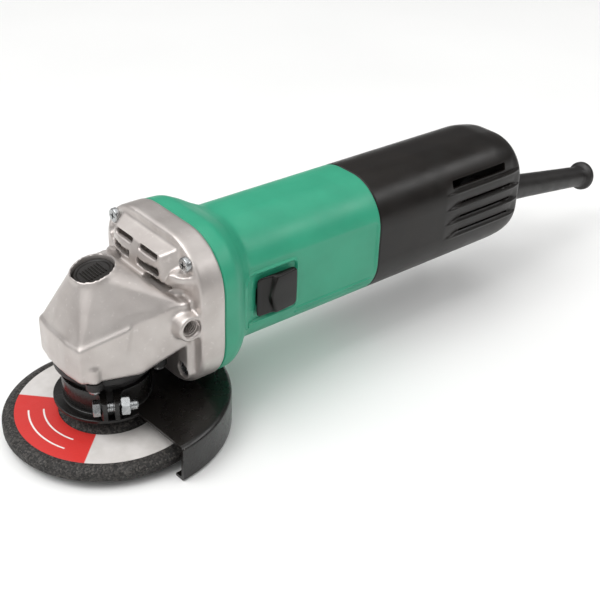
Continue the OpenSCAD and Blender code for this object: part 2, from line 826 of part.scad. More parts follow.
module brush_holders() {
    color("goldenrod") both_brushes() difference() {
        union() {
            block([-4.6, -5.6, 13], [4.6, 5.6, 29]);
            block([-6, -8.5, 20], [6, 8.5, 22]);
        }
        block([-3.1, -4.1, 12], [3.1, 4.1, 28.2]);
    }
}

module carbon_brushes() {
    color([0.2, 0.2, 0.2]) difference() {
        both_brushes() block([-3, -4, 9.5], [3, 4, 21]);
        rod_x(commutator_x[0] - 2, commutator_x[1] + 2, commutator_r + 0.3);
    }
}

module brush_springs() {
    turns = 4;
    color("silver") both_brushes() for (i = [0:turns - 1]) translate([0, 0, 21.4 + i * 2.1])
        rotate_extrude() translate([2.2, 0]) circle(0.35);
}

/* ---------- slide switch ---------- */

module switch_knob() {
    z_mid = axis_h + (knob_z[0] + knob_z[1]) / 2;
    half = (knob_z[1] - knob_z[0]) / 2;
    color([0.1, 0.09, 0.09]) difference() {
        union() {
            // Thumb pad: a plate with a raised ridge at its rear third
            hull() {
                for (x = [knob_x[0] + 2, knob_x[1] - 2], z = [-half + 2, half - 2])
                    translate([x, -29.2, z_mid + z]) rotate([-90, 0, 0]) cylinder(h = 1.2, r = 2, $fn = 24);
                translate([81, -32, z_mid - half + 3]) cylinder(h = 2 * half - 6, r = 0.8, $fn = 16);
                translate([72, -30.4, z_mid - half + 3]) cylinder(h = 2 * half - 6, r = 0.8, $fn = 16);
            }
            block([72.5, -28.6, axis_h + knob_mid - 4], [82.5, bar_y[0] - 0.6, axis_h + knob_mid + 4]);
        }
        // Room for the slide bar's lug and the bore of the pin
        block([74.6, -27.6, axis_h + knob_mid - 1.9], [80.4, -24, axis_h + knob_mid + 1.9]);
        translate([77.5, -26.5, axis_h + knob_mid - 5]) cylinder(h = 10, r = 0.7 + touch);
    }
}

module knob_pin() {
    color("silver") translate([77.5, -26.5, axis_h + knob_mid - 3.8]) cylinder(h = 7.6, r = 0.7);
}

module slide_bar() {
    color("silver") difference() {
        union() {
            block([70, bar_y[0], axis_h + knob_mid - 4], [168, bar_y[1], axis_h + knob_mid + 4]);
            block([75.5, -27.3, axis_h + knob_mid - 1.5], [79.5, bar_y[0] + 0.1, axis_h + knob_mid + 1.5]);
            block([167, bar_y[0], axis_h + knob_mid - 4], [168, -17, axis_h + knob_mid + 4]);
        }
        translate([77.5, -26.5, axis_h + knob_mid - 5]) cylinder(h = 10, r = 0.7);
    }
}

module switch_unit() {
    color([0.12, 0.12, 0.13]) {
        difference() {
            block([171, -19, axis_h - 11], [195, -3, axis_h + 9]);
            block([170, -18, axis_h - 9], [172.5, -4, axis_h + 7]);
        }
        for (z = [-6, 2]) block([194.9, -12, axis_h + z], [200, -11.2, axis_h + z + 5]);
    }
}

/* ---------- tail ---------- */

// End of the tail, rounded over its rim
module tail_cover_solid() {
    prism_x(joint_x, 237) grip_section();
    hull() {
        prism_x(236.9, 237) grip_section($fn = 64);
        prism_x(252, 252.1) grip_section(1.2, $fn = 64);
        prism_x(tail_x - 0.1, tail_x) grip_section(6, $fn = 64);
    }
}

module tail_cover() {
    color([0.12, 0.11, 0.1]) difference() {
        union() {
            difference() {
                tail_cover_solid();
                prism_x(joint_x - cut, 250) grip_section(wall);
                prism_x(249, tail_x - 3) grip_section(8);
            }
            // Posts under the cord clamp
            both_sides() block([224.5, 7, axis_h - grip_hh + 1.2], [231.5, 15, axis_h - 16]);
        }
        // Air inlets on both sides
        both_sides() {
            block([199, -40, axis_h + 17.5], [241, -10, axis_h + 21.5]);
            for (z = [10.5, 1.8, -6.5, -14.9]) block([198, -40, axis_h + z - 1], [248, -20, axis_h + z + 1.2]);
        }
        along_sleeve() translate([0, 0, -20]) cylinder(h = 40, r = 7.7);
        translate([tail_screw_x, 0, axis_h - grip_hh - cut]) cylinder(h = 10, r = 2.2);
        translate([tail_screw_x, 0, axis_h - grip_hh - cut]) cylinder(h = cut + 1.2, r = 3.8);
        for (side = [-1, 1]) translate([228, side * 11, axis_h - 20]) cylinder(h = 5, r = 1.8);
    }
}

module tail_screw() {
    color("silver") translate([tail_screw_x, 0, axis_h - grip_hh + 1.2]) rotate([0, -90, 0])
        screw_along_x(10, 1.9, 3.4, 1.1);
}

// Places a shape drawn on +Z along the sleeve, z = 0 at the tail's end wall
module along_sleeve() {
    translate([tail_x, 0, axis_h - 10.8]) rotate([0, 90 + sleeve_droop, 0]) children();
}

module cord_guard() {
    color([0.13, 0.12, 0.12]) along_sleeve() rotate_extrude() polygon([[cord_r, -12], [9.8, -12], [9.8, -4.6],
        [7.5, -4.6], [7.5, 1.6], [8.3, 1.9], [8.2, 6], [7.2, 40], [6.5, sleeve_len - 9], [6.5, sleeve_len - 6],
        [8.6, sleeve_len - 4.6], [9, sleeve_len - 2.6], [8.6, sleeve_len - 0.8], [7.6, sleeve_len],
        [cord_r, sleeve_len]]);
}

module cord_clamp() {
    color([0.12, 0.12, 0.12]) difference() {
        block([224, -15, axis_h - 16], [232, 15, axis_h - 6]);
        translate([220, 0, axis_h - 4.5]) rotate([0, 90, 0]) cylinder(h = 20, r = cord_r);
        for (side = [-1, 1]) translate([228, side * 11, axis_h - 20]) cylinder(h = 20, r = 1.8);
    }
}

module cord_clamp_screws() {
    color("silver") for (side = [-1, 1]) translate([228, side * 11, axis_h - 6]) rotate([0, 90, 0])
        screw_along_x(12, 1.8, 3, 1.8);
}

module capacitor() {
    color([0.75, 0.62, 0.25]) translate([206, 4, axis_h + 8]) rotate([0, 90, 0]) cylinder(h = 16, r = 7);
}

// Leads between the brush gear, the switch and the capacitor
module lead_wires() {
    color("darkred") {
        translate([147, 10, axis_h + 18]) rotate([0, 90, 0]) cylinder(h = 58, r = 1.1);
        translate([147, 14, axis_h - 14]) rotate([0, 90, 0]) cylinder(h = 74, r = 1.1);
    }
}

gear_housing();
gearcase_screws();
bearing_cover();
cover_screws();
spindle_bearing_outer();
spindle_bearing_balls();
spindle_bearing_inner();
upper_bush();
spindle_seal();
spindle();
bevel_gear();
gear_key();
gear_circlip();
inner_flange();
wheel_bush();
grinding_wheel();
wheel_label();
lock_nut();
wheel_guard();
guard_band();
guard_clamp_screw();
guard_clamp_nut();
lock_button();
lock_pin();
lock_spring();
bearing_plate();
front_bearing_outer();
front_bearing_balls();
front_bearing_inner();
armature_shaft();
pinion();
pinion_nut();
armature_core();
armature_windings();
commutator();
cooling_fan();
rear_bearing_outer();
rear_bearing_balls();
rear_bearing_inner();
bearing_sleeve();
motor_housing();
fan_baffle();
stator_core();
field_coils();
stator_screws();
brush_holders();
carbon_brushes();
brush_springs();
switch_knob();
knob_pin();
slide_bar();
switch_unit();
capacitor();
lead_wires();
tail_cover();
tail_screw();
cord_guard();
cord_clamp();
cord_clamp_screws();
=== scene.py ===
"""Angle grinder for 100 mm depressed-centre wheels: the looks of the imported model.

Lengths in the dataclasses are millimetres in the model's own frame: the origin is the spindle
axis at the wheel seat, +X runs along the motor to the tail and +Z points away from the wheel.
"""

import json
import logging
import math
from dataclasses import dataclass, field
from enum import Enum
from typing import Callable, Iterable, Sequence

import bmesh
import bpy
import numpy as np
from mathutils import Matrix, Vector


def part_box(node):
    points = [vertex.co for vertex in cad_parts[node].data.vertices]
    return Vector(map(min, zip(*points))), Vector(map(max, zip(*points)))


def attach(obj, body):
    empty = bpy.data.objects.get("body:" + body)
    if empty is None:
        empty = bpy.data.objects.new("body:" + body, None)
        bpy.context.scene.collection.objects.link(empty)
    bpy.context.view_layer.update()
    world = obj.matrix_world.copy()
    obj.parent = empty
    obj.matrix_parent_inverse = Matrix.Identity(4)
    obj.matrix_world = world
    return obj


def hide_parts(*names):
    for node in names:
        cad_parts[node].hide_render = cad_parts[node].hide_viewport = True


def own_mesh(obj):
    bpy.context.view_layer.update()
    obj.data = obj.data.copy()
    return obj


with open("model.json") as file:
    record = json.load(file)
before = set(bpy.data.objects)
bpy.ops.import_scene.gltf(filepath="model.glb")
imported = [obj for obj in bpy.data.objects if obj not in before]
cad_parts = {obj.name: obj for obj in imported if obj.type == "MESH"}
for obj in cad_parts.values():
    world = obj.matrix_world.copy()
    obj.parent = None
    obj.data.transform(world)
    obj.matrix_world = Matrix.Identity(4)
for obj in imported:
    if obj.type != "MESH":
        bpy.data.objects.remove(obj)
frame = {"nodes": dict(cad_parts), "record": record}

LOG = logging.getLogger("grinder")
MM = 0.001
AXIS_H = 46.0

Point = tuple[float, float, float]
Mesh = bpy.types.Mesh
Object = bpy.types.Object
Material = bpy.types.Material
Tree = bpy.types.NodeTree


class Body(Enum):
    """Bodies of the grinder that pieces ride on."""

    HOUSING = "housing"
    SPINDLE = "spindle"
    ARMATURE = "armature"
    GUARD = "guard"
    SLIDE_BAR = "slide_bar"
    KNOB = "switch_knob"
    BUTTON = "lock_button"


class Cut(Enum):
    """How two solids are combined."""

    JOIN = "UNION"
    TAKE = "DIFFERENCE"


# ---------------------------------------------------------------- colours and nodes


def to_linear(hex_colour: str) -> tuple[float, float, float, float]:
    """Turns an sRGB hex colour into linear RGBA.

    Args:
        hex_colour: Six hex digits, such as "3FA083".

    Returns:
        Linear red, green, blue and an alpha of 1.
    """
    out = []
    for i in (0, 2, 4):
        c = int(hex_colour[i : i + 2], 16) / 255
        out.append(c / 12.92 if c <= 0.04045 else ((c + 0.055) / 1.055) ** 2.4)
    return out[0], out[1], out[2], 1.0


def add_node(tree: Tree, kind: str, settings: dict | None = None, links: dict | None = None) -> bpy.types.Node:
    """Adds a node with its settings and links.

    Args:
        tree: The shader or geometry tree.
        kind: The node's type name, such as "ShaderNodeMix".
        settings: Node properties by name, and input values by socket name or index.
        links: Output sockets to connect, by input socket name or index.

    Returns:
        The new node.
    """
    node = tree.nodes.new(kind)
    for key, value in (settings or {}).items():
        if isinstance(key, str) and hasattr(node, key):
            setattr(node, key, value)
        else:
            node.inputs[key].default_value = value
    for key, socket in (links or {}).items():
        tree.links.new(socket, node.inputs[key])
    return node


# ---------------------------------------------------------------- finishes


@dataclass(frozen=True)
class Finish:
    """A surface with colour variation, fine grain, uneven gloss and worn or dusty patches.

    Attributes:
        name: Material and process, as the shop calls it.
        slot: The record's material slot.
        base: Main colour, sRGB hex.
        drift: Colour of the slow variation, sRGB hex.
        drift_mm: Size of the slow variation.
        grain_mm: Size of the surface grain.
        grain_height: Bump strength of the grain, 0 to 1.
        roughness: Mean roughness.
        spread: How far roughness goes each way.
        metallic: 1 for bare metal.
        ior: Index of refraction of a dielectric.
        coat: Weight of a clear gloss layer.
    """

    name: str
    slot: str
    base: str
    drift: str
    drift_mm: float = 9.0
    grain_mm: float = 0.45
    grain_height: float = 0.12
    roughness: float = 0.45
    spread: float = 0.06
    metallic: float = 0.0
    ior: float = 1.5
    coat: float = 0.0

    def material(self) -> Material:
        """Builds the material, or returns the one built before."""
        known = bpy.data.materials.get(self.name)
        if known:
            return known
        made = bpy.data.materials.new(self.name)
        made.use_nodes = True
        tree = made.node_tree
        tree.nodes.clear()
        place = add_node(tree, "ShaderNodeTexCoord").outputs["Object"]
        colour = self.colour(tree, place)
        height = self.height(tree, place)
        settings: dict = {"Metallic": self.metallic}
        if self.metallic < 0.5:
            settings["IOR"] = self.ior
        if self.coat:
            settings["Coat Weight"] = self.coat
            settings["Coat Roughness"] = 0.12
        bump = add_node(tree, "ShaderNodeBump", {"Strength": self.grain_height, "Distance": self.grain_mm * MM * 0.5},
                        {"Height": height})
        shader = add_node(tree, "ShaderNodeBsdfPrincipled", settings,
                          {"Base Color": colour, "Roughness": self.gloss(tree, place), "Normal": bump.outputs[0]})
        add_node(tree, "ShaderNodeOutputMaterial", links={"Surface": shader.outputs[0]})
        return made

    def noise(self, tree: Tree, place: bpy.types.NodeSocket, size_mm: float,
              detail: float = 3.0) -> bpy.types.NodeSocket:
        """A noise pattern of a real size.

        Args:
            tree: The material's tree.
            place: The coordinates.
            size_mm: Size of one blotch.
            detail: Octaves of finer noise.

        Returns:
            The pattern, about 0.3 to 0.7.
        """
        node = add_node(tree, "ShaderNodeTexNoise", {"Scale": 1 / (size_mm * MM), "Detail": detail}, {"Vector": place})
        return node.outputs[0]

    def blend(self, tree: Tree, low: bpy.types.NodeSocket | str, high: bpy.types.NodeSocket | str,
              amount: bpy.types.NodeSocket) -> bpy.types.NodeSocket:
        """Mixes two colours.

        Args:
            tree: The material's tree.
            low: Colour or socket at 0.
            high: Colour or socket at 1.
            amount: The share of the second.

        Returns:
            The mixed colour.
        """
        settings: dict = {"data_type": "RGBA"}
        links: dict = {0: amount}
        for index, value in ((6, low), (7, high)):
            if isinstance(value, str):
                settings[index] = to_linear(value)
            else:
                links[index] = value
        return add_node(tree, "ShaderNodeMix", settings, links).outputs[2]

    def ramp(self, tree: Tree, value: bpy.types.NodeSocket, low: float, high: float, to_low: float = 0.0,
             to_high: float = 1.0) -> bpy.types.NodeSocket:
        """Maps a value from one range to another, clamped."""
        return add_node(tree, "ShaderNodeMapRange", {1: low, 2: high, 3: to_low, 4: to_high}, {0: value}).outputs[0]

    def colour(self, tree: Tree, place: bpy.types.NodeSocket) -> bpy.types.NodeSocket:
        """Colour with slow variation and a little speckle."""
        slow = self.ramp(tree, self.noise(tree, place, self.drift_mm), 0.35, 0.68)
        return self.blend(tree, self.base, self.drift, slow)

    def height(self, tree: Tree, place: bpy.types.NodeSocket) -> bpy.types.NodeSocket:
        """Height of the surface grain."""
        return self.noise(tree, place, self.grain_mm, 2.0)

    def gloss(self, tree: Tree, place: bpy.types.NodeSocket) -> bpy.types.NodeSocket:
        """Roughness, uneven as handling leaves it."""
        patch = self.noise(tree, place, self.drift_mm * 0.6, 4.0)
        return self.ramp(tree, patch, 0.3, 0.7, self.roughness - self.spread, self.roughness + self.spread)


@dataclass(frozen=True)
class CastFinish(Finish):
    """Die-cast metal: soft mottling, fine pits and slightly brighter rubbed high spots."""

    rub: str = "DED9D6"

    def colour(self, tree: Tree, place: bpy.types.NodeSocket) -> bpy.types.NodeSocket:
        """Mottled metal with small light scuffs."""
        body = super().colour(tree, place)
        scuff = self.ramp(tree, self.noise(tree, place, 2.2, 6.0), 0.62, 0.74, 0.0, 0.45)
        return self.blend(tree, body, self.rub, scuff)

    def height(self, tree: Tree, place: bpy.types.NodeSocket) -> bpy.types.NodeSocket:
        """Grain with sparse shallow pits."""
        grain = self.noise(tree, place, self.grain_mm, 3.0)
        pits = add_node(tree, "ShaderNodeTexVoronoi", {"Scale": 1 / (1.1 * MM)}, {"Vector": place}).outputs[0]
        pit = self.ramp(tree, pits, 0.0, 0.22, 0.35, 1.0)
        return add_node(tree, "ShaderNodeMath", {"operation": "MULTIPLY"}, {0: grain, 1: pit}).outputs[0]


@dataclass(frozen=True)
class TurnedFinish(Finish):
    """Machined steel with fine rings about one of the axes."""

    axis: str = "Z"
    pitch_mm: float = 0.5
    centre: Point = (0.0, 0.0, 0.0)

    def height(self, tree: Tree, place: bpy.types.NodeSocket) -> bpy.types.NodeSocket:
        """Height of the tool marks, drawn coarser than real feed marks so that they show."""
        centred = add_node(tree, "ShaderNodeMapping", {"Location": tuple(-c * MM for c in self.centre)},
                           {"Vector": place}).outputs[0]
        wave = add_node(tree, "ShaderNodeTexWave",
                        {"wave_type": "RINGS", "rings_direction": self.axis, "Scale": 0.314 / (self.pitch_mm * MM),
                         "Distortion": 0.4, "Detail": 2.0}, {"Vector": centred})
        return wave.outputs[1]


@dataclass(frozen=True)
class PaintedFinish(Finish):
    """Stove enamel on sheet steel: orange peel, and small chips down to the metal."""

    chip: str = "6E6A66"

    def colour(self, tree: Tree, place: bpy.types.NodeSocket) -> bpy.types.NodeSocket:
        """Paint with rare chips and dusty patches."""
        body = super().colour(tree, place)
        chips = self.ramp(tree, self.noise(tree, place, 1.4, 5.0), 0.73, 0.76)
        return self.blend(tree, body, self.chip, chips)


@dataclass(frozen=True)
class GritFinish(Finish):
    """Resin-bonded abrasive: coarse grains in a dark bond, over a glass-fibre net."""

    grit: str = "55514D"
    net_mm: float = 3.2

    def colour(self, tree: Tree, place: bpy.types.NodeSocket) -> bpy.types.NodeSocket:
        """Grains of mixed greys in the bond."""
        cells = add_node(tree, "ShaderNodeTexVoronoi", {"Scale": 1 / (0.8 * MM)}, {"Vector": place})
        light = self.ramp(tree, self.noise(tree, cells.outputs[2], 0.0006, 0.0), 0.45, 0.75, 0.0, 0.8)
        body = super().colour(tree, place)
        return self.blend(tree, body, self.grit, light)

    def height(self, tree: Tree, place: bpy.types.NodeSocket) -> bpy.types.NodeSocket:
        """Grains standing proud of the bond, with the net's weave under them."""
        cells = add_node(tree, "ShaderNodeTexVoronoi", {"Scale": 1 / (0.8 * MM)}, {"Vector": place}).outputs[0]
        net = None
        for direction in ("X", "Y"):
            wave = add_node(tree, "ShaderNodeTexWave",
                            {"bands_direction": direction, "Scale": 0.314 / (self.net_mm * MM), "Distortion": 0.6},
                            {"Vector": place}).outputs[1]
            net = wave if net is None else add_node(tree, "ShaderNodeMath", {"operation": "MAXIMUM"},
                                                    {0: net, 1: wave}).outputs[0]
        net = self.ramp(tree, net, 0.6, 1.0, 0.0, 0.5)
        return add_node(tree, "ShaderNodeMath", {"operation": "SUBTRACT"}, {0: net, 1: cells}).outputs[0]


@dataclass(frozen=True)
class LabelFinish(Finish):
    """Printed paper disc pressed into the wheel: one red sector between light ones.

    Attributes:
        red: Colour of the red sector.
        red_from: Where the red sector starts, in degrees from +X.
        red_to: Where it ends.
        ring_mm: Radii of the two thin printed rings on the red.
    """

    red: str = "D0302B"
    red_from: float = 134.0
    red_to: float = 225.0
    ring_mm: tuple[float, float] = (30.5, 37.5)

    def colour(self, tree: Tree, place: bpy.types.NodeSocket) -> bpy.types.NodeSocket:
        """Light paper with a red sector, its thin white borders and two thin arcs."""
        paper = super().colour(tree, place)
        mid = math.radians((self.red_from + self.red_to) / 2)
        half = math.radians((self.red_to - self.red_from) / 2)
        turned = add_node(tree, "ShaderNodeMapping", {"Rotation": (0, 0, -mid)}, {"Vector": place})
        split = add_node(tree, "ShaderNodeSeparateXYZ", links={0: turned.outputs[0]})
        angle = add_node(tree, "ShaderNodeMath", {"operation": "ARCTAN2"}, {0: split.outputs[1], 1: split.outputs[0]})
        off = add_node(tree, "ShaderNodeMath", {"operation": "ABSOLUTE"}, {0: angle.outputs[0]}).outputs[0]
        sector = self.ramp(tree, off, half + 0.006, half - 0.006)
        flat = add_node(tree, "ShaderNodeMath", {"operation": "MULTIPLY"}, {0: split.outputs[0], 1: split.outputs[0]})
        square = add_node(tree, "ShaderNodeMath", {"operation": "MULTIPLY_ADD"},
                          {0: split.outputs[1], 1: split.outputs[1], 2: flat.outputs[0]})
        radius = add_node(tree, "ShaderNodeMath", {"operation": "SQRT"}, {0: square.outputs[0]}).outputs[0]
        arcs = None
        for ring in self.ring_mm:
            away = add_node(tree, "ShaderNodeMath", {"operation": "SUBTRACT", 1: ring * MM}, {0: radius}).outputs[0]
            away = add_node(tree, "ShaderNodeMath", {"operation": "ABSOLUTE"}, {0: away}).outputs[0]
            line = self.ramp(tree, away, 0.0005, 0.0003)
            arcs = line if arcs is None else add_node(tree, "ShaderNodeMath", {"operation": "MAXIMUM"},
                                                      {0: arcs, 1: line}).outputs[0]
        inside = self.ramp(tree, off, half * 0.62, half * 0.60)
        arcs = add_node(tree, "ShaderNodeMath", {"operation": "MULTIPLY"}, {0: arcs, 1: inside}).outputs[0]
        ink = self.blend(tree, self.red, "F0ECE8", arcs)
        fibre = self.ramp(tree, self.noise(tree, place, 0.7, 4.0), 0.3, 0.7, 0.0, 0.1)
        ink = self.blend(tree, ink, "7E1D1A", fibre)
        return self.blend(tree, paper, ink, sector)


# Aluminium alloy, pressure die cast and tumbled: pale satin metal with soft, slightly warm reflections.
DIE_CAST = CastFinish("die_cast_aluminium_satin", "die_cast_aluminium", "C9C3BF", "BBB4B0", drift_mm=14, grain_mm=0.5,
                      grain_height=0.22, roughness=0.43, spread=0.05, metallic=0.75)
# Glass-filled nylon, dyed green and moulded in a finely eroded tool: semi-gloss with soft highlights.
GREEN_NYLON = Finish("moulded_nylon_green", "green_plastic", "30A07D", "2A9675", drift_mm=22, grain_mm=0.55,
                     grain_height=0.16, roughness=0.40, spread=0.05, ior=1.53)
# The same nylon in black: a dark brownish black that shows broad grey sheens. Nylon has an IOR near 1.53, and it is
# lowered here so that the black keeps its depth over a pale floor.
BLACK_NYLON = Finish("moulded_nylon_black", "black_plastic", "151210", "1B1714", drift_mm=18, grain_mm=0.5,
                     grain_height=0.14, roughness=0.33, spread=0.05, ior=1.38)
# The same nylon polished in use, on the thumb pad: darker, with crisp highlights, and an IOR lowered alike.
GLOSS_NYLON = Finish("moulded_nylon_black_polished", "black_plastic", "0F0D0C", "15120F", drift_mm=8, grain_mm=0.4,
                     grain_height=0.08, roughness=0.22, spread=0.05, ior=1.38)
# Unfilled nylon of the inner mouldings: matt black.
MATT_NYLON = Finish("moulded_nylon_black_matt", "dark_plastic", "1A1918", "21201F", drift_mm=8, grain_mm=0.5,
                    grain_height=0.2, roughness=0.55, spread=0.06, ior=1.53)
# Natural rubber loaded with carbon black, moulded: dull, a little bloomed.
RUBBER = Finish("moulded_rubber_black", "black_rubber", "12100F", "1B1817", drift_mm=12, grain_mm=0.6,
                grain_height=0.18, roughness=0.42, spread=0.08, ior=1.52)
# Deep-drawn sheet steel under black stove enamel: smooth, glossy, with orange peel.
ENAMEL = PaintedFinish("stove_enamelled_steel_black", "black_steel", "0E0C0B", "141210", drift_mm=16, grain_mm=1.6,
                       grain_height=0.08, roughness=0.27, spread=0.05, ior=1.5)
# Grey iron casting under black paint: matt and lumpy.
BLACK_CASTING = PaintedFinish("painted_casting_black", "black_casting", "121010", "191716", drift_mm=7, grain_mm=0.8,
                              grain_height=0.35, roughness=0.5, spread=0.08, ior=1.5)
# Zinc-plated carbon steel screws: bright, with faint turning marks.
ZINC_STEEL = TurnedFinish("zinc_plated_steel_turned", "bright_steel", "B4B6B7", "9FA1A2", drift_mm=3, grain_mm=0.3,
                          grain_height=0.1, roughness=0.27, spread=0.07, metallic=1.0, pitch_mm=0.4)
# Ground and polished bearing steel.
BEARING_STEEL = TurnedFinish("ground_bearing_steel", "bearing_steel", "C4C6C8", "B4B6B9", drift_mm=4, grain_mm=0.3,
                             grain_height=0.06, roughness=0.2, spread=0.04, metallic=1.0, pitch_mm=0.35)
# Hardened tool steel, turned and ground: the spindle and its flange.
TOOL_STEEL = TurnedFinish("turned_tool_steel", "tool_steel", "A9AAAC", "8F9092", drift_mm=5, grain_mm=0.35,
                          grain_height=0.12, roughness=0.32, spread=0.06, metallic=1.0, pitch_mm=0.6)
# Case-hardened gear steel, dark from heat treatment.
GEAR_STEEL = TurnedFinish("case_hardened_gear_steel", "gear_steel", "77777A", "5E5E62", drift_mm=3, grain_mm=0.4,
                          grain_height=0.12, roughness=0.36, spread=0.08, metallic=1.0, pitch_mm=0.6)
# Sintered bronze with oil in its pores.
BRONZE = CastFinish("sintered_bronze", "bronze", "B08A4E", "9C7841", drift_mm=4, grain_mm=0.35, grain_height=0.2,
                    roughness=0.42, metallic=1.0, rub="C9A666")
# Pressed wool felt with oil.
FELT = Finish("pressed_felt_grey", "felt", "4A4642", "5A5550", drift_mm=2, grain_mm=0.3, grain_height=0.6,
              roughness=0.92, spread=0.04)
# Mild steel strip, plain.
BUSH_STEEL = TurnedFinish("mild_steel_bush", "bush_steel", "A7A8A9", "98999B", drift_mm=3, grain_height=0.1,
                          roughness=0.35, metallic=1.0, pitch_mm=0.5)
# Drawn spring wire with a phosphate coat.
SPRING_STEEL = Finish("phosphated_spring_wire", "spring_steel", "7D7D80", "66666A", drift_mm=2, grain_mm=0.3,
                      roughness=0.38, metallic=1.0)
# Natural polyamide of the fan, ivory white.
FAN_PLASTIC = Finish("moulded_fan_polyamide", "fan_plastic", "DEDCD4", "D2D0C8", drift_mm=8, grain_mm=0.4,
                     roughness=0.5, ior=1.5)
# Stacked silicon-steel sheet: fine lines across the motor axis.
LAMINATIONS = TurnedFinish("stacked_silicon_steel", "lamination_steel", "8C8C8E", "77777A", drift_mm=5, grain_mm=0.5,
                           grain_height=0.35, roughness=0.42, metallic=1.0, axis="X", pitch_mm=0.7)
# Enamelled copper wire, wound: glossy reddish brown.
COPPER_WIRE = TurnedFinish("enamelled_copper_winding", "enamelled_copper", "9A4A25", "7E3618", drift_mm=3,
                           grain_mm=0.6, grain_height=0.5, roughness=0.3, metallic=0.8, pitch_mm=0.7)
# Hard-drawn copper bars, skimmed in a lathe.
COMMUTATOR_COPPER = TurnedFinish("turned_commutator_copper", "commutator_copper", "C07A50", "A9653F", drift_mm=3,
                                 grain_height=0.1, roughness=0.28, metallic=1.0, axis="X", pitch_mm=0.5,
                                 centre=(0.0, 0.0, AXIS_H))
# Pressed carbon graphite.
CARBON = Finish("pressed_carbon_graphite", "carbon", "232325", "2E2E31", drift_mm=2, grain_mm=0.3, roughness=0.5,
                metallic=0.2)
# Yellow polyester film round a wound capacitor.
CAPACITOR_FILM = Finish("polyester_film_yellow", "capacitor_film", "C4A445", "B59434", drift_mm=6, grain_mm=0.6,
                        roughness=0.3, ior=1.6)
# PVC insulation of the leads.
WIRE_PVC = Finish("pvc_insulation_red", "wire_insulation", "8E1F1B", "7A1814", drift_mm=6, grain_mm=0.5,
                  roughness=0.4, ior=1.53)
# Phenolic resin with alumina grit, pressed over a glass net: dull black with grey grains.
ABRASIVE = GritFinish("resin_bonded_grit", "abrasive", "141211", "1C1A18", drift_mm=6, grain_mm=1.0,
                      grain_height=0.55, roughness=0.72, spread=0.1, ior=1.55)
# Coated paper, printed.
LABEL = LabelFinish("printed_label_paper", "label_paper", "D6D2CF", "C8C4C0", drift_mm=8, grain_mm=0.8,
                    grain_height=0.14, roughness=0.5, spread=0.08, ior=1.5)
# Painted studio floor, matt.
FLOOR = Finish("studio_floor_matt", "", "F4F4F3", "EFEFEE", drift_mm=400, grain_mm=4.0, grain_height=0.02,
               roughness=0.8, spread=0.05)


# ---------------------------------------------------------------- mesh tools


def new_object(name: str, points: Iterable[Sequence[float]], faces: Iterable[Sequence[int]]) -> Object:
    """Makes an object in the scene from points in millimetres.

    Args:
        name: Object and mesh name.
        points: Vertices.
        faces: Vertex indices of each face.

    Returns:
        The new object.
    """
    mesh = bpy.data.meshes.new(name)
    mesh.from_pydata([tuple(map(float, p)) for p in points], [], [tuple(map(int, f)) for f in faces])
    mesh.update()
    obj = bpy.data.objects.new(name, mesh)
    bpy.context.scene.collection.objects.link(obj)
    return obj


def tidy(obj: Object, merge: float = 1e-4) -> Object:
    """Merges doubles and points the faces of a closed mesh outwards.

    Args:
        obj: A mesh object.
        merge: Distance under which vertices are one, in millimetres.

    Returns:
        The same object.
    """
    work = bmesh.new()
    work.from_mesh(obj.data)
    bmesh.ops.remove_doubles(work, verts=work.verts, dist=merge)
    bmesh.ops.dissolve_degenerate(work, edges=work.edges, dist=merge)
    bmesh.ops.recalc_face_normals(work, faces=work.faces)
    if work.calc_volume(signed=True) < 0:
        bmesh.ops.reverse_faces(work, faces=work.faces)
    work.to_mesh(obj.data)
    work.free()
    return obj


def baked(obj: Object) -> Object:
    """Applies the object's modifiers, leaving a plain mesh."""
    graph = bpy.context.evaluated_depsgraph_get()
    graph.update()
    mesh = bpy.data.meshes.new_from_object(obj.evaluated_get(graph))
    obj.modifiers.clear()
    old, obj.data = obj.data, mesh
    bpy.data.meshes.remove(old)
    return obj


def moved(obj: Object, matrix: Matrix) -> Object:
    """Applies a matrix to the mesh, keeping the object at the origin."""
    obj.data.transform(matrix)
    if matrix.determinant() < 0:
        obj.data.flip_normals()
    obj.data.update()
    return obj


def joined(name: str, parts: Sequence[Object]) -> Object:
    """Joins mesh objects into one and removes them."""
    work = bmesh.new()
    for part in parts:
        work.from_mesh(part.data)
    mesh = bpy.data.meshes.new(name)
    work.to_mesh(mesh)
    work.free()
    for part in parts:
        discard(part)
    obj = bpy.data.objects.new(name, mesh)
    bpy.context.scene.collection.objects.link(obj)
    return obj


def discard(obj: Object) -> None:
    """Removes an object and its mesh."""
    mesh = obj.data
    bpy.data.objects.remove(obj)
    if mesh.users == 0:
        bpy.data.meshes.remove(mesh)


def combined(base: Object, tool: Object, cut: Cut, solver: str = "MANIFOLD") -> Object:
    """Joins a solid to another or cuts it away, and removes the tool.

    Args:
        base: The solid that stays.
        tool: The other solid.
        cut: Union or difference.
        solver: Name of the boolean solver.

    Returns:
        The changed base.
    """
    mod = base.modifiers.new("cut", "BOOLEAN")
    mod.operation, mod.object, mod.solver = cut.value, tool, solver
    baked(base)
    discard(tool)
    return base


def fused(name: str, parts: Sequence[Object], voxel: float, relax: int) -> Object:
    """Fuses overlapping solids into one skin with softened edges.

    Args:
        name: Name of the result.
        parts: Closed solids.
        voxel: Mesh size of the skin in millimetres.
        relax: Smoothing passes, each rounding the edges a little more.

    Returns:
        The fused object.
    """
    obj = joined(name, parts)
    mesh_size = obj.modifiers.new("skin", "REMESH")
    mesh_size.mode, mesh_size.voxel_size = "VOXEL", voxel
    if relax:
        soft = obj.modifiers.new("soft", "SMOOTH")
        soft.factor, soft.iterations = 0.5, relax
    return baked(obj)


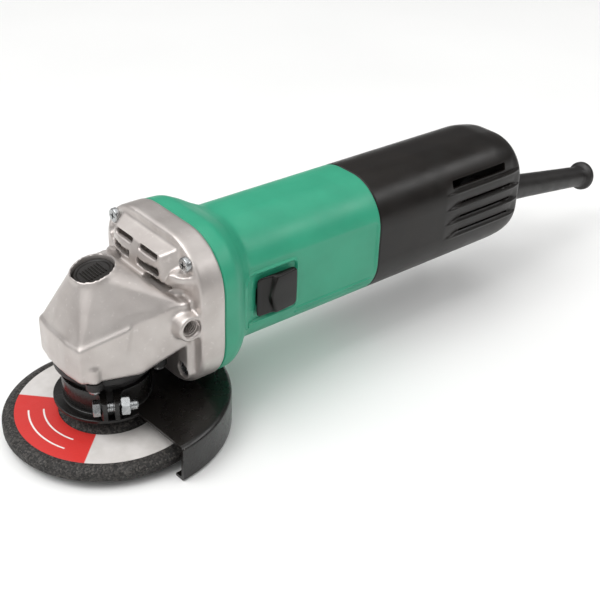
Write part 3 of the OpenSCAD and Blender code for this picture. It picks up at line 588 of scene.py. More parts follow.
def loft(name: str, rings: Sequence[Sequence[Sequence[float]]], caps: bool = True, loop: bool = False) -> Object:
    """Joins rings of equal count with quads.

    Args:
        name: Name of the result.
        rings: Closed rings of points, in order.
        caps: Whether the first and last ring are filled.
        loop: Whether the last ring joins the first.

    Returns:
        The closed solid.
    """
    count = len(rings[0])
    faces: list[Sequence[int]] = []
    pairs = len(rings) if loop else len(rings) - 1
    for i in range(pairs):
        a, b = i * count, ((i + 1) % len(rings)) * count
        faces += [(a + j, a + (j + 1) % count, b + (j + 1) % count, b + j) for j in range(count)]
    if caps and not loop:
        faces += [tuple(range(count))[::-1], tuple(range((len(rings) - 1) * count, len(rings) * count))]
    return tidy(new_object(name, [p for ring in rings for p in ring], faces))


def rounded(corners: Sequence[tuple[float, float, float]], steps: int = 4,
            closed: bool = True) -> list[tuple[float, float]]:
    """Rounds the corners of an outline.

    Args:
        corners: Points with the radius at each: x, y, r.
        steps: Segments per rounded corner.
        closed: Whether the outline closes on itself; if not, its ends stay.

    Returns:
        The rounded outline.
    """
    out: list[tuple[float, float]] = []
    count = len(corners)
    for i, (x, y, r) in enumerate(corners):
        here = Vector((x, y))
        if r <= 0 or (not closed and i in (0, count - 1)):
            out.append((x, y))
            continue
        back = Vector(corners[i - 1][:2]) - here
        ahead = Vector(corners[(i + 1) % count][:2]) - here
        half = back.angle(ahead) / 2
        reach = min(r / max(math.tan(half), 1e-3), 0.48 * back.length, 0.48 * ahead.length)
        start, end = here + back.normalized() * reach, here + ahead.normalized() * reach
        for k in range(steps + 1):
            t = k / steps
            spot = start * (1 - t) ** 2 + here * 2 * t * (1 - t) + end * t ** 2
            out.append((spot.x, spot.y))
    return out


def turned(name: str, outline: Sequence[tuple[float, float]], steps: int = 96, start: float = 0.0,
           sweep: float = 360.0) -> Object:
    """Turns an outline of radius and height about Z.

    Args:
        name: Name of the result.
        outline: Closed outline as (radius, height).
        steps: Segments of a full turn.
        start: First angle in degrees.
        sweep: Angle covered in degrees.

    Returns:
        A closed solid.
    """
    full = abs(sweep - 360) < 1e-6
    count = steps if full else max(int(steps * sweep / 360), 2) + 1
    rings = []
    for i in range(count):
        a = math.radians(start + sweep * i / (count if full else count - 1))
        rings.append([(r * math.cos(a), r * math.sin(a), h) for r, h in outline])
    return loft(name, rings, caps=not full, loop=full)


def prism(name: str, outline: Sequence[tuple[float, float]], low: float, high: float, edge: float = 0.3) -> Object:
    """Extrudes an outline along Z with rounded upper and lower edges.

    Args:
        name: Name of the result.
        outline: Closed outline.
        low: Lower height.
        high: Upper height.
        edge: Radius of the edges.

    Returns:
        A closed solid.
    """
    flat = np.array(outline, float)
    area = np.sum(flat[:, 0] * np.roll(flat[:, 1], -1) - np.roll(flat[:, 0], -1) * flat[:, 1])
    along = np.roll(flat, -1, 0) - np.roll(flat, 1, 0)
    inward = np.stack([-along[:, 1], along[:, 0]], 1) * np.sign(area)
    inward /= np.maximum(np.linalg.norm(inward, axis=1, keepdims=True), 1e-9)
    rings = []
    for height, side in ((low, 1), (high, -1)):
        stack = []
        for k in range(4):
            a = math.radians(30 * k)
            ring = flat + inward * edge * (1 - math.sin(a))
            stack.append([(x, y, height + side * edge * (1 - math.cos(a))) for x, y in ring])
        rings += stack if side == 1 else stack[::-1]
    return loft(name, rings)


def slab(name: str, low: Point, high: Point, edge: float = 0.4) -> Object:
    """A box with rounded edges, between two corners."""
    (x0, y0, z0), (x1, y1, z1) = low, high
    r = min(edge, (x1 - x0) / 2.1, (y1 - y0) / 2.1)
    return prism(name, rounded([(x0, y0, r), (x1, y0, r), (x1, y1, r), (x0, y1, r)]), z0, z1,
                 min(edge, (z1 - z0) / 2.1))


def hull(name: str, points: Iterable[Sequence[float]], ball: float = 0.0) -> Object:
    """Convex hull of points, or of balls at them.

    Args:
        name: Name of the result.
        points: The centres.
        ball: Ball radius.

    Returns:
        The closed hull.
    """
    work = bmesh.new()
    for p in points:
        if ball:
            made = bmesh.ops.create_icosphere(work, subdivisions=2, radius=ball)
            bmesh.ops.translate(work, verts=made["verts"], vec=Vector(p))
        else:
            work.verts.new(Vector(p))
    bmesh.ops.delete(work, geom=list(work.faces) + list(work.edges), context="EDGES_FACES")
    made = bmesh.ops.convex_hull(work, input=work.verts)
    loose = {v for v in made["geom_interior"] + made["geom_unused"] if isinstance(v, bmesh.types.BMVert)}
    bmesh.ops.delete(work, geom=[v for v in work.verts if v in loose or not v.link_faces], context="VERTS")
    mesh = bpy.data.meshes.new(name)
    work.to_mesh(mesh)
    work.free()
    obj = bpy.data.objects.new(name, mesh)
    bpy.context.scene.collection.objects.link(obj)
    return tidy(obj)


def aim(place: Sequence[float], axis: Sequence[float], turn: float = 0.0) -> Matrix:
    """Matrix that takes +Z to an axis and the origin to a place.

    Args:
        place: Where the origin goes, in millimetres.
        axis: Where +Z goes.
        turn: Angle about the axis in degrees.

    Returns:
        The matrix.
    """
    spin = Vector((0, 0, 1)).rotation_difference(Vector(axis)).to_matrix().to_4x4()
    return Matrix.Translation(Vector(place)) @ spin @ Matrix.Rotation(math.radians(turn), 4, "Z")


# Radius in millimetres that stands for a point on the axis, where a ring may not shrink to nothing.
AXIS_R = 1e-4


def bar(name: str, place: Sequence[float], axis: Sequence[float], length: float, radius: float,
        far_radius: float | None = None, edge: float = 0.0, steps: int = 48) -> Object:
    """A round bar or cone from a place along an axis."""
    end = radius if far_radius is None else far_radius
    outline = rounded([(0, 0, 0), (radius, 0, edge), (end, length, edge), (0, length, 0)], closed=False)
    turns = [2 * math.pi * k / steps for k in range(steps)]
    rings = [[(max(r, AXIS_R) * math.cos(a), max(r, AXIS_R) * math.sin(a), h) for a in turns] for r, h in outline]
    return moved(loft(name, rings), aim(place, axis))


def mirrored(points: Iterable[Point]) -> list[Point]:
    """The points with their mirror images across the XZ plane."""
    listed = list(points)
    return listed + [(x, -y, z) for x, y, z in listed]


def both(make: Callable[[int], Object]) -> list[Object]:
    """Calls a maker for the near side (-1) and the far side (+1)."""
    return [make(-1), make(1)]


def publish(obj: Object, name: str, body: Body, finish: Finish, stands_for: Sequence[str] = (),
            crease: float = 32.0) -> Object:
    """Turns a millimetre mesh into a finished piece on its body.

    Args:
        obj: The mesh object.
        name: The piece's name.
        body: The body it rides on.
        finish: Its finish.
        stands_for: CAD nodes that it replaces.
        crease: Edges sharper than this many degrees stay crisp.

    Returns:
        The piece.
    """
    obj.name = obj.data.name = name
    moved(obj, Matrix.Scale(MM, 4))
    for face in obj.data.polygons:
        face.use_smooth = True
    obj.data.set_sharp_from_angle(angle=math.radians(crease))
    obj.data.materials.clear()
    obj.data.materials.append(finish.material())
    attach(obj, body.value)
    if stands_for:
        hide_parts(*stands_for)
    LOG.info("%s: %d faces on %s", name, len(obj.data.polygons), body.value)
    return obj


# ---------------------------------------------------------------- geometry-node rows


def close_tree(tree: Tree, shape: bpy.types.NodeSocket, surface: bpy.types.NodeSocket) -> None:
    """Ends a geometry tree: instances made real, then the material, then the output.

    Args:
        tree: The tree.
        shape: Its last geometry.
        surface: The material that the geometry gets.
    """
    real = add_node(tree, "GeometryNodeRealizeInstances", links={0: shape})
    made = add_node(tree, "GeometryNodeSetMaterial", links={"Geometry": real.outputs[0], "Material": surface})
    add_node(tree, "NodeGroupOutput", links={0: made.outputs[0]})


class NodeRow:
    """Copies of one template placed at points by a node tree with named inputs."""

    def __init__(self, name: str) -> None:
        """Builds the tree.

        Args:
            name: The tree's name.
        """
        tree = bpy.data.node_groups.new(name, "GeometryNodeTree")
        tree.is_modifier = True
        sockets = tree.interface
        sockets.new_socket("Geometry", in_out="INPUT", socket_type="NodeSocketGeometry")
        self.part = sockets.new_socket("Part", in_out="INPUT", socket_type="NodeSocketObject").identifier
        self.size = sockets.new_socket("Size", in_out="INPUT", socket_type="NodeSocketFloat").identifier
        self.swing = sockets.new_socket("Swing", in_out="INPUT", socket_type="NodeSocketFloat").identifier
        self.seed = sockets.new_socket("Seed", in_out="INPUT", socket_type="NodeSocketInt").identifier
        self.surface = sockets.new_socket("Surface", in_out="INPUT", socket_type="NodeSocketMaterial").identifier
        sockets.new_socket("Geometry", in_out="OUTPUT", socket_type="NodeSocketGeometry")
        given = add_node(tree, "NodeGroupInput").outputs
        part = add_node(tree, "GeometryNodeObjectInfo", links={"Object": given["Part"]})
        spin = add_node(tree, "FunctionNodeRandomValue", {"data_type": "FLOAT"}, {"Seed": given["Seed"]})
        tree.links.new(given["Swing"], spin.inputs[3])
        # One face per copy: its centre is the place and its normal the direction.
        facing = add_node(tree, "GeometryNodeInputNormal")
        capture = add_node(tree, "GeometryNodeCaptureAttribute", {"domain": "FACE"}, {"Geometry": given["Geometry"]})
        capture.capture_items.new("VECTOR", "Facing")
        tree.links.new(facing.outputs[0], capture.inputs["Facing"])
        centres = add_node(tree, "GeometryNodeMeshToPoints", {"mode": "FACES"}, {"Mesh": capture.outputs["Geometry"]})
        look = add_node(tree, "FunctionNodeAlignRotationToVector", {"axis": "Z"}, {"Vector": capture.outputs["Facing"]})
        about = add_node(tree, "FunctionNodeAxisAngleToRotation", {"Axis": (0, 0, 1)}, {"Angle": spin.outputs[1]})
        turn = add_node(tree, "FunctionNodeRotateRotation", {"rotation_space": "LOCAL"},
                        {0: look.outputs[0], 1: about.outputs[0]})
        copies = add_node(tree, "GeometryNodeInstanceOnPoints", links={
            "Points": centres.outputs[0], "Instance": part.outputs["Geometry"], "Rotation": turn.outputs[0],
            "Scale": given["Size"]})
        close_tree(tree, copies.outputs[0], given["Surface"])
        self.tree = tree

    def place(self, name: str, template: Object, spots: Sequence[Sequence[float]], axes: Sequence[Sequence[float]],
              finish: Finish, swing: float = 0.0, seed: int = 3, size: float = 1.0) -> Object:
        """Puts a copy of the template at each spot, its Z along that spot's axis.

        Args:
            name: Name of the result.
            template: The part to copy, removed afterwards.
            spots: Where the copies go, in millimetres.
            axes: Direction of each.
            finish: Material of the copies.
            swing: Largest random turn about the axis, in radians.
            seed: Seed of the turns.
            size: Scale of the copies.

        Returns:
            One plain mesh object with all copies.
        """
        points: list[Vector] = []
        faces: list[tuple[int, ...]] = []
        for spot, axis in zip(spots, axes):
            at = aim(spot, axis)
            first = len(points)
            points += [at @ Vector((0.01 * math.cos(a), 0.01 * math.sin(a), 0)) for a in (0.0, 2.0944, 4.1888)]
            faces.append((first, first + 1, first + 2))
        carrier = new_object(name, points, faces)
        mod = carrier.modifiers.new("row", "NODES")
        mod.node_group = self.tree
        mod[self.part], mod[self.size], mod[self.swing] = template, size, swing
        mod[self.seed], mod[self.surface] = seed, finish.material()
        baked(carrier)
        discard(template)
        return carrier


class ThreadNodes:
    """A node tree that winds a screw thread: a spiral swept with a small profile."""

    def __init__(self, name: str) -> None:
        """Builds the tree.

        Args:
            name: The tree's name.
        """
        tree = bpy.data.node_groups.new(name, "GeometryNodeTree")
        tree.is_modifier = True
        sockets = tree.interface
        sockets.new_socket("Geometry", in_out="INPUT", socket_type="NodeSocketGeometry")
        self.inputs = {label: sockets.new_socket(label, in_out="INPUT", socket_type="NodeSocketFloat").identifier
                       for label in ("Radius", "Turns", "Length", "Depth")}
        self.surface = sockets.new_socket("Surface", in_out="INPUT", socket_type="NodeSocketMaterial").identifier
        sockets.new_socket("Geometry", in_out="OUTPUT", socket_type="NodeSocketGeometry")
        given = add_node(tree, "NodeGroupInput").outputs
        spiral = add_node(tree, "GeometryNodeCurveSpiral", {"Resolution": 24}, {
            "Rotations": given["Turns"], "Start Radius": given["Radius"], "End Radius": given["Radius"],
            "Height": given["Length"]})
        crest = add_node(tree, "GeometryNodeCurvePrimitiveCircle", {"mode": "RADIUS", "Resolution": 8},
                         {"Radius": given["Depth"]})
        swept = add_node(tree, "GeometryNodeCurveToMesh", {"Fill Caps": True},
                         {"Curve": spiral.outputs["Curve"], "Profile Curve": crest.outputs["Curve"]})
        close_tree(tree, swept.outputs[0], given["Surface"])
        self.tree = tree

    def wind(self, name: str, radius: float, pitch: float, length: float, depth: float, start: float,
             finish: Finish) -> Object:
        """Winds a thread about Z.

        Args:
            name: Name of the result.
            radius: Core radius.
            pitch: Rise per turn.
            length: Threaded length.
            depth: Radius of the thread's profile.
            start: Height of its first turn.
            finish: Its material.

        Returns:
            The thread.
        """
        carrier = new_object(name, [(0, 0, 0)], [])
        mod = carrier.modifiers.new("thread", "NODES")
        mod.node_group = self.tree
        for label, value in (("Radius", radius), ("Turns", length / pitch), ("Length", length), ("Depth", depth)):
            mod[self.inputs[label]] = float(value)
        mod[self.surface] = finish.material()
        return tidy(moved(baked(carrier), Matrix.Translation((0, 0, start))))


class RibNodes:
    """A node tree that lays a row of straight ribs side by side."""

    def __init__(self, name: str) -> None:
        """Builds the tree.

        Args:
            name: The tree's name.
        """
        tree = bpy.data.node_groups.new(name, "GeometryNodeTree")
        tree.is_modifier = True
        sockets = tree.interface
        sockets.new_socket("Geometry", in_out="INPUT", socket_type="NodeSocketGeometry")
        self.count = sockets.new_socket("Count", in_out="INPUT", socket_type="NodeSocketInt").identifier
        self.step = sockets.new_socket("Step", in_out="INPUT", socket_type="NodeSocketVector").identifier
        self.surface = sockets.new_socket("Surface", in_out="INPUT", socket_type="NodeSocketMaterial").identifier
        sockets.new_socket("Geometry", in_out="OUTPUT", socket_type="NodeSocketGeometry")
        given = add_node(tree, "NodeGroupInput").outputs
        line = add_node(tree, "GeometryNodeMeshLine", {"mode": "OFFSET"},
                        {"Count": given["Count"], "Offset": given["Step"]})
        copies = add_node(tree, "GeometryNodeInstanceOnPoints",
                          links={"Points": line.outputs[0], "Instance": given["Geometry"]})
        close_tree(tree, copies.outputs[0], given["Surface"])
        self.tree = tree

    def lay(self, name: str, count: int, pitch: float, length: float, width: float, tall: float,
            finish: Finish) -> Object:
        """Lays ribs along Y, one beside the other along X, centred on the origin.

        Args:
            name: Name of the result.
            count: Number of ribs.
            pitch: Distance between them.
            length: Length of each.
            width: Width at the foot.
            tall: Height.
            finish: Their material.

        Returns:
            The ribs as one mesh.
        """
        rib = slab(name, (-width / 2, -length / 2, -0.3), (width / 2, length / 2, tall), 0.25)
        mod = rib.modifiers.new("ribs", "NODES")
        mod.node_group = self.tree
        mod[self.count], mod[self.step] = count, (pitch, 0.0, 0.0)
        mod[self.surface] = finish.material()
        return moved(baked(rib), Matrix.Translation((-pitch * (count - 1) / 2, 0, 0)))


# ---------------------------------------------------------------- gear head


@dataclass
class GearHead:
    """The die-cast gear housing. Heights in the fields are over the motor axis.

    Attributes:
        nose: Corners of the gear case, one side.
        roof: Corners of the dome's foot, one side.
        vent: Corners of the block with the air outlets, one side.
        band: Half-width, half-height, corner radius and rise of the flange.
        skin: Mesh size of the casting's skin.
    """

    nose: tuple[Point, ...] = ((-23.1, 8, -18.4), (-21.6, 17.3, -18.4), (3, 25.8, -18.4), (24, 31, -8.4),
                               (-23.1, 8, -3), (-21.6, 17.3, -3), (2, 24.6, 4.8), (24, 32, 12), (21, 12, 11.4))
    roof: tuple[Point, ...] = ((-20.0, 9.0, 3.4), (-18.0, 15.9, 4.4), (0, 22.4, 10.2), (13, 25.0, 12.4),
                               (22, 26.5, 13.2), (19, 3, 14),
                               (-23.6, 7.6, -2.4), (-22.2, 17.4, -2.4), (2, 25.0, 5.4), (23, 31.8, 12.2))
    vent: tuple[Point, ...] = ((18, 9, 12), (20, 22, 10), (18, 8, 24), (20.5, 19.5, 24), (20.3, 18.2, 30.6),
                               (23.5, 19.2, 31.7), (29, 22.7, 34.2), (29, 26, 16))
    band: tuple[float, float, float, float] = (40.0, 38.5, 26.0, 1.0)
    skin: float = 0.62
    button_x: float = -3.2
    button_tilt: float = 13.6
    button_face: float = 24.6

    def up(self, points: Iterable[Point]) -> list[Point]:
        """Points on both sides, raised from the motor axis to the model's frame."""
        return [(x, y, z + AXIS_H) for x, y, z in mirrored(points)]

    def rim(self, radius: float, height: float, steps: int = 64) -> list[Point]:
        """Ring of points parallel to the lock button's face.

        Args:
            radius: Ring radius.
            height: Height over the face's centre, along its normal.
            steps: Number of points.

        Returns:
            The ring.
        """
        lean = Matrix.Translation((self.button_x, 0, AXIS_H + self.button_face)) @ Matrix.Rotation(
            -math.radians(self.button_tilt), 4, "Y")
        return [tuple(lean @ Vector((radius * math.cos(a), radius * math.sin(a), height)))
                for a in (2 * math.pi * k / steps for k in range(steps))]

    def solids(self) -> list[Object]:
        """The casting's overlapping solids."""
        dome = hull("dome", self.rim(10.5, 0.0) + self.rim(11.6, -2.4) + self.up(self.roof))
        case = hull("nose", self.up(self.nose), 1.5)
        for side in (-1, 1):
            combined(case, self.side_facet(side), Cut.TAKE)
        collar = loft("collar", [self.rim(r, h) for r, h in
                                 ((10.8, -5.0), (11.0, 0.2), (10.7, 0.75), (10.2, 0.8), (8.0, 0.4))])
        half_w, half_h, corner, rise = self.band
        rings = []
        for x, inset in ((27.0, 1.3), (27.35, 0.45), (28.2, 0.0), (39.2, 0.0), (39.75, 0.25), (40.0, 0.7)):
            rings.append([(x, y, z + AXIS_H) for y, z in section(half_w - inset, half_h - inset, corner - inset, rise)])
        parts = [case, dome, collar, hull("vent", self.up(self.vent), 1.2),
                 loft("band", rings), bar("chamber", (0, 0, 26), (0, 0, 1), 14, 24.5)]
        for x, y in ((-16.5, 18.5), (16.5, 19)):
            parts += both(lambda s, x=x, y=y: bar("boss", (x, s * y, 26), (0, 0, 1), 8, 3.4, edge=0.5))
        parts += both(lambda s: bar("handle_boss", (23, s * 24, AXIS_H + 2.5), (0, s, 0), 14.2, 7.4, 6.3, edge=0.6))
        parts += both(lambda s: bar("low_boss", (23.4, s * 28, AXIS_H - 25), (1, 0, 0), 8, 5.0, edge=0.6))
        parts += both(lambda s: hull("low_rib", [(x, s * 28 + y, AXIS_H + z) for x in (23.8, 30) for y in (-4.6, 4.6)
                                                 for z in (-25, -8)] + [(29.5, s * 28, AXIS_H - 3)]))
        parts += both(lambda s: hull("lip", [(x, s * y, AXIS_H + z) for x, y, z in (
            (19.5, 22, 19), (19.5, 24, 25), (28, 36.5, 23), (28, 33.5, 17.5), (28, 24, 17), (28, 24, 27), (28, 37, 26),
            (22, 29.5, 22.5))]))
        return parts

    def cutters(self) -> list[Object]:
        """Solids taken out of the casting: the gear chamber, bores, outlets, wells and recesses."""
        h = AXIS_H
        tools = [bar("chamber", (0, 0, 9), (0, 0, 1), 34.5, 22.3),
                 bar("chamber_top", (0, 0, 43.4), (0, 0, 1), 7.6, 22.3, 14),
                 bar("pinion_way", (5, 0, h), (1, 0, 0), 24, 9.5),
                 bar("bearing_seat", (27.9, 0, h), (1, 0, 0), 14, 16.05),
                 bar("plate_seat", (37, 0, h), (1, 0, 0), 5, 33),
                 bar("button_well", (self.button_x, 0, 60.5), (0, 0, 1), 22, 9.75),
                 bar("spring_seat", (-9.6, 0, 56.5), (0, 0, 1), 6, 3.7),
                 bar("pin_way", (-9.6, 0, 49), (0, 0, 1), 9, 2.4),
                 bar("bush_seat", (0, 0, 49), (0, 0, 1), 8.5, 5.6)]
        tools.append(slab("duct", (20.6, -17, h + 14.5), (36.5, 17, h + 30.6), 1.0))
        for side in (-1, 1):
            tools += self.outlets(side)
            tools.append(bar("handle_thread", (23, side * 40, h + 2.5), (0, -side, 0), 15, 4.05))
            tools.append(bar("handle_sink", (23, side * 38.6, h + 2.5), (0, -side, 0), 1.6, 5.4, 3.9))
            tools.append(bar("top_recess", (16, side * 29.2, h + 30.2), (1, 0, 0), 11, 5.4))
            tools.append(bar("top_scoop", (15, side * 31.5, h + 33.5), (1, 0, -0.1), 11.9, 7.0))
            tools.append(bar("low_recess", (15, side * 28, h - 25), (1, 0, 0), 12, 4.0))
            for y, z in ((29.2, 30.2), (28, -25)):
                tools.append(bar("screw_way", (20, side * y, h + z), (1, 0, 0), 21, 2.2))
        return tools

    def outlets(self, side: int) -> list[Object]:
        """Cutters of the three air outlets on one side of the centre rib.

        Args:
            side: -1 near, 1 far.

        Returns:
            The cutters.
        """
        h = AXIS_H
        window = hull("window", [(x, side * y, h + z) for x, y, z in (
            (14, 3.0, 28.4), (14, 16.5, 28.4), (14, 17.6, 31.4), (14, 3.0, 31.4),
            (24.5, 3.0, 28.8), (24.5, 3.0, 31.2), (21.4, 17.6, 31.0), (21.4, 16.5, 28.6))])
        slot = hull("slot", [(x, side * y, h + z - drop) for x, drop in ((13, 0), (24, 3.2)) for y, z in
                             ((3.2, 23.2), (3.2, 25.3 + drop), (17.6, 22.9), (17.6, 25.1 + drop), (18.3, 24.0))])
        curved = []
        for k in range(7):
            t = k / 6
            curved.append([(14 + 3 * t + dx, side * (9.8 + 13.2 * t) , h + 18.4 - 1.6 * t * t + dz)
                           for dx, dz in ((0, 0), (9, -2.4), (9, 2.2), (0, 2.2))])
        return [window, slot, loft("curved_slot", curved)]

    def side_facet(self, side: int) -> Object:
        """Cutter of the flat facet on the gear case's side.

        Args:
            side: -1 near, 1 far.

        Returns:
            The cutter.
        """
        h = AXIS_H
        return hull("facet", [(x, side * y, h + z) for x, y, z in (
            (-4.5, 24.9, -14), (2, 27.1, -15.2), (15, 31.1, -12.0), (22, 33.6, -7), (0.6, 24.4, 7.5), (22, 31.6, 15),
            (-4.5, 34, -14), (2, 36, -15.2), (15, 38, -12), (22, 40, -7), (0.6, 34, 7.5), (22, 40, 15))])

    def build(self, rows: NodeRow, thread: ThreadNodes) -> None:
        """Builds the housing, its screws and the bearing cover's screws.

        Args:
            rows: The node tree that repeats screws.
            thread: The node tree that winds screw threads.
        """
        casting = fused("casting", self.solids(), 0.8, 2)
        for tool in self.cutters():
            combined(casting, tool, Cut.TAKE)
        casting = fused("casting", [casting], self.skin, 2)
        wound = both(lambda s: moved(thread.wind("handle_thread", 4.0, 1.25, 11.5, 0.42, 0.0, DIE_CAST),
                                     aim((23, s * 36.8, AXIS_H + 2.5), (0, -s, 0))))
        casting = joined("casting", [casting, *wound])
        publish(casting, "gear_housing_casting", Body.HOUSING, DIE_CAST, ["gear_housing"], crease=50)
        spots = [(27, s * y, AXIS_H + z) for y, z in ((29.2, 30.2), (28, -25)) for s in (-1, 1)]
        screws = rows.place("gearcase_screw_set", pan_screw(3.6, 2.4, 2.1, 18), spots, [(-1, 0, 0)] * 4, ZINC_STEEL,
                            swing=3.0, seed=5)
        publish(screws, "gearcase_screw_set", Body.HOUSING, ZINC_STEEL, ["gearcase_screws"])
        spots = [(x, s * y, 22.4) for x, y in ((-16.5, 18.5), (16.5, 19)) for s in (-1, 1)]
        screws = rows.place("cover_screw_set", pan_screw(3.0, 1.8, 1.5, 8), spots, [(0, 0, -1)] * 4, ZINC_STEEL,
                            swing=3.0, seed=9)
        publish(screws, "cover_screw_set", Body.HOUSING, ZINC_STEEL, ["cover_screws"])


def section(half_w: float, half_h: float, corner: float, rise: float = 0.0,
            steps: int = 20) -> list[tuple[float, float]]:
    """Outline of a rectangle with round corners, as (y, z)."""
    out = []
    for quarter, (sy, sz) in enumerate(((1, 1), (-1, 1), (-1, -1), (1, -1))):
        for k in range(steps + 1):
            a = math.radians(90 * quarter + 90 * k / steps)
            out.append((sy * (half_w - corner) + corner * math.cos(a),
                        rise + sz * (half_h - corner) + corner * math.sin(a)))
    return out


def pan_screw(head: float, tall: float, shank: float, length: float) -> Object:
    """Pan-head screw with a cross recess, its head along +Z from z = 0 and its shank below.

    Args:
        head: Head radius.
        tall: Head height.
        shank: Shank radius.
        length: Shank length.

    Returns:
        The screw as one mesh of a few hundred faces.
    """
    outline = [(0.001, tall), *rounded([(0.001, tall, 0), (head * 0.96, tall, head * 0.45), (head, tall * 0.3, 0.3),
                                        (head, 0, 0.15), (shank, 0, 0)], closed=False)[1:],
               (shank, -length + 1), (shank * 0.5, -length), (0.001, -length)]
    screw = turned("screw", outline, steps=32)
    for turn in (0, 90):
        blade = hull("blade", [(x, y, z) for z, wide in ((tall + 1, 0.62), (tall - 1.25, 0.42))
                               for x in (-head * 0.56 * wide / 0.62, head * 0.56 * wide / 0.62)
                               for y in (-wide * 0.7, wide * 0.7)])
        combined(screw, moved(blade, Matrix.Rotation(math.radians(turn), 4, "Z")), Cut.TAKE, "EXACT")
    return screw


# ---------------------------------------------------------------- plastic housings


@dataclass
class Panel:
    """A rectangular feature with round corners on the near side, in x and height over the motor axis.

    Attributes:
        x: Its range along the motor.
        z: Its range of height.
        depth: How far in it goes; negative stands proud.
        corner: Corner radius.
        soft: Width of its wall.
    """

    x: tuple[float, float]
    z: tuple[float, float]
    depth: float
    corner: float = 1.5
    soft: float = 0.5

    def share(self, x: np.ndarray, z: np.ndarray) -> np.ndarray:
        """How much of the feature acts at each point, 0 to 1."""
        mx, mz = sum(self.x) / 2, sum(self.z) / 2
        hx, hz = (self.x[1] - self.x[0]) / 2 - self.corner, (self.z[1] - self.z[0]) / 2 - self.corner
        dx, dz = np.abs(x - mx) - hx, np.abs(z - mz) - hz
        away = np.hypot(np.maximum(dx, 0), np.maximum(dz, 0)) + np.minimum(np.maximum(dx, dz), 0) - self.corner
        t = np.clip(0.5 - away / self.soft, 0, 1)
        return t * t * (3 - 2 * t)


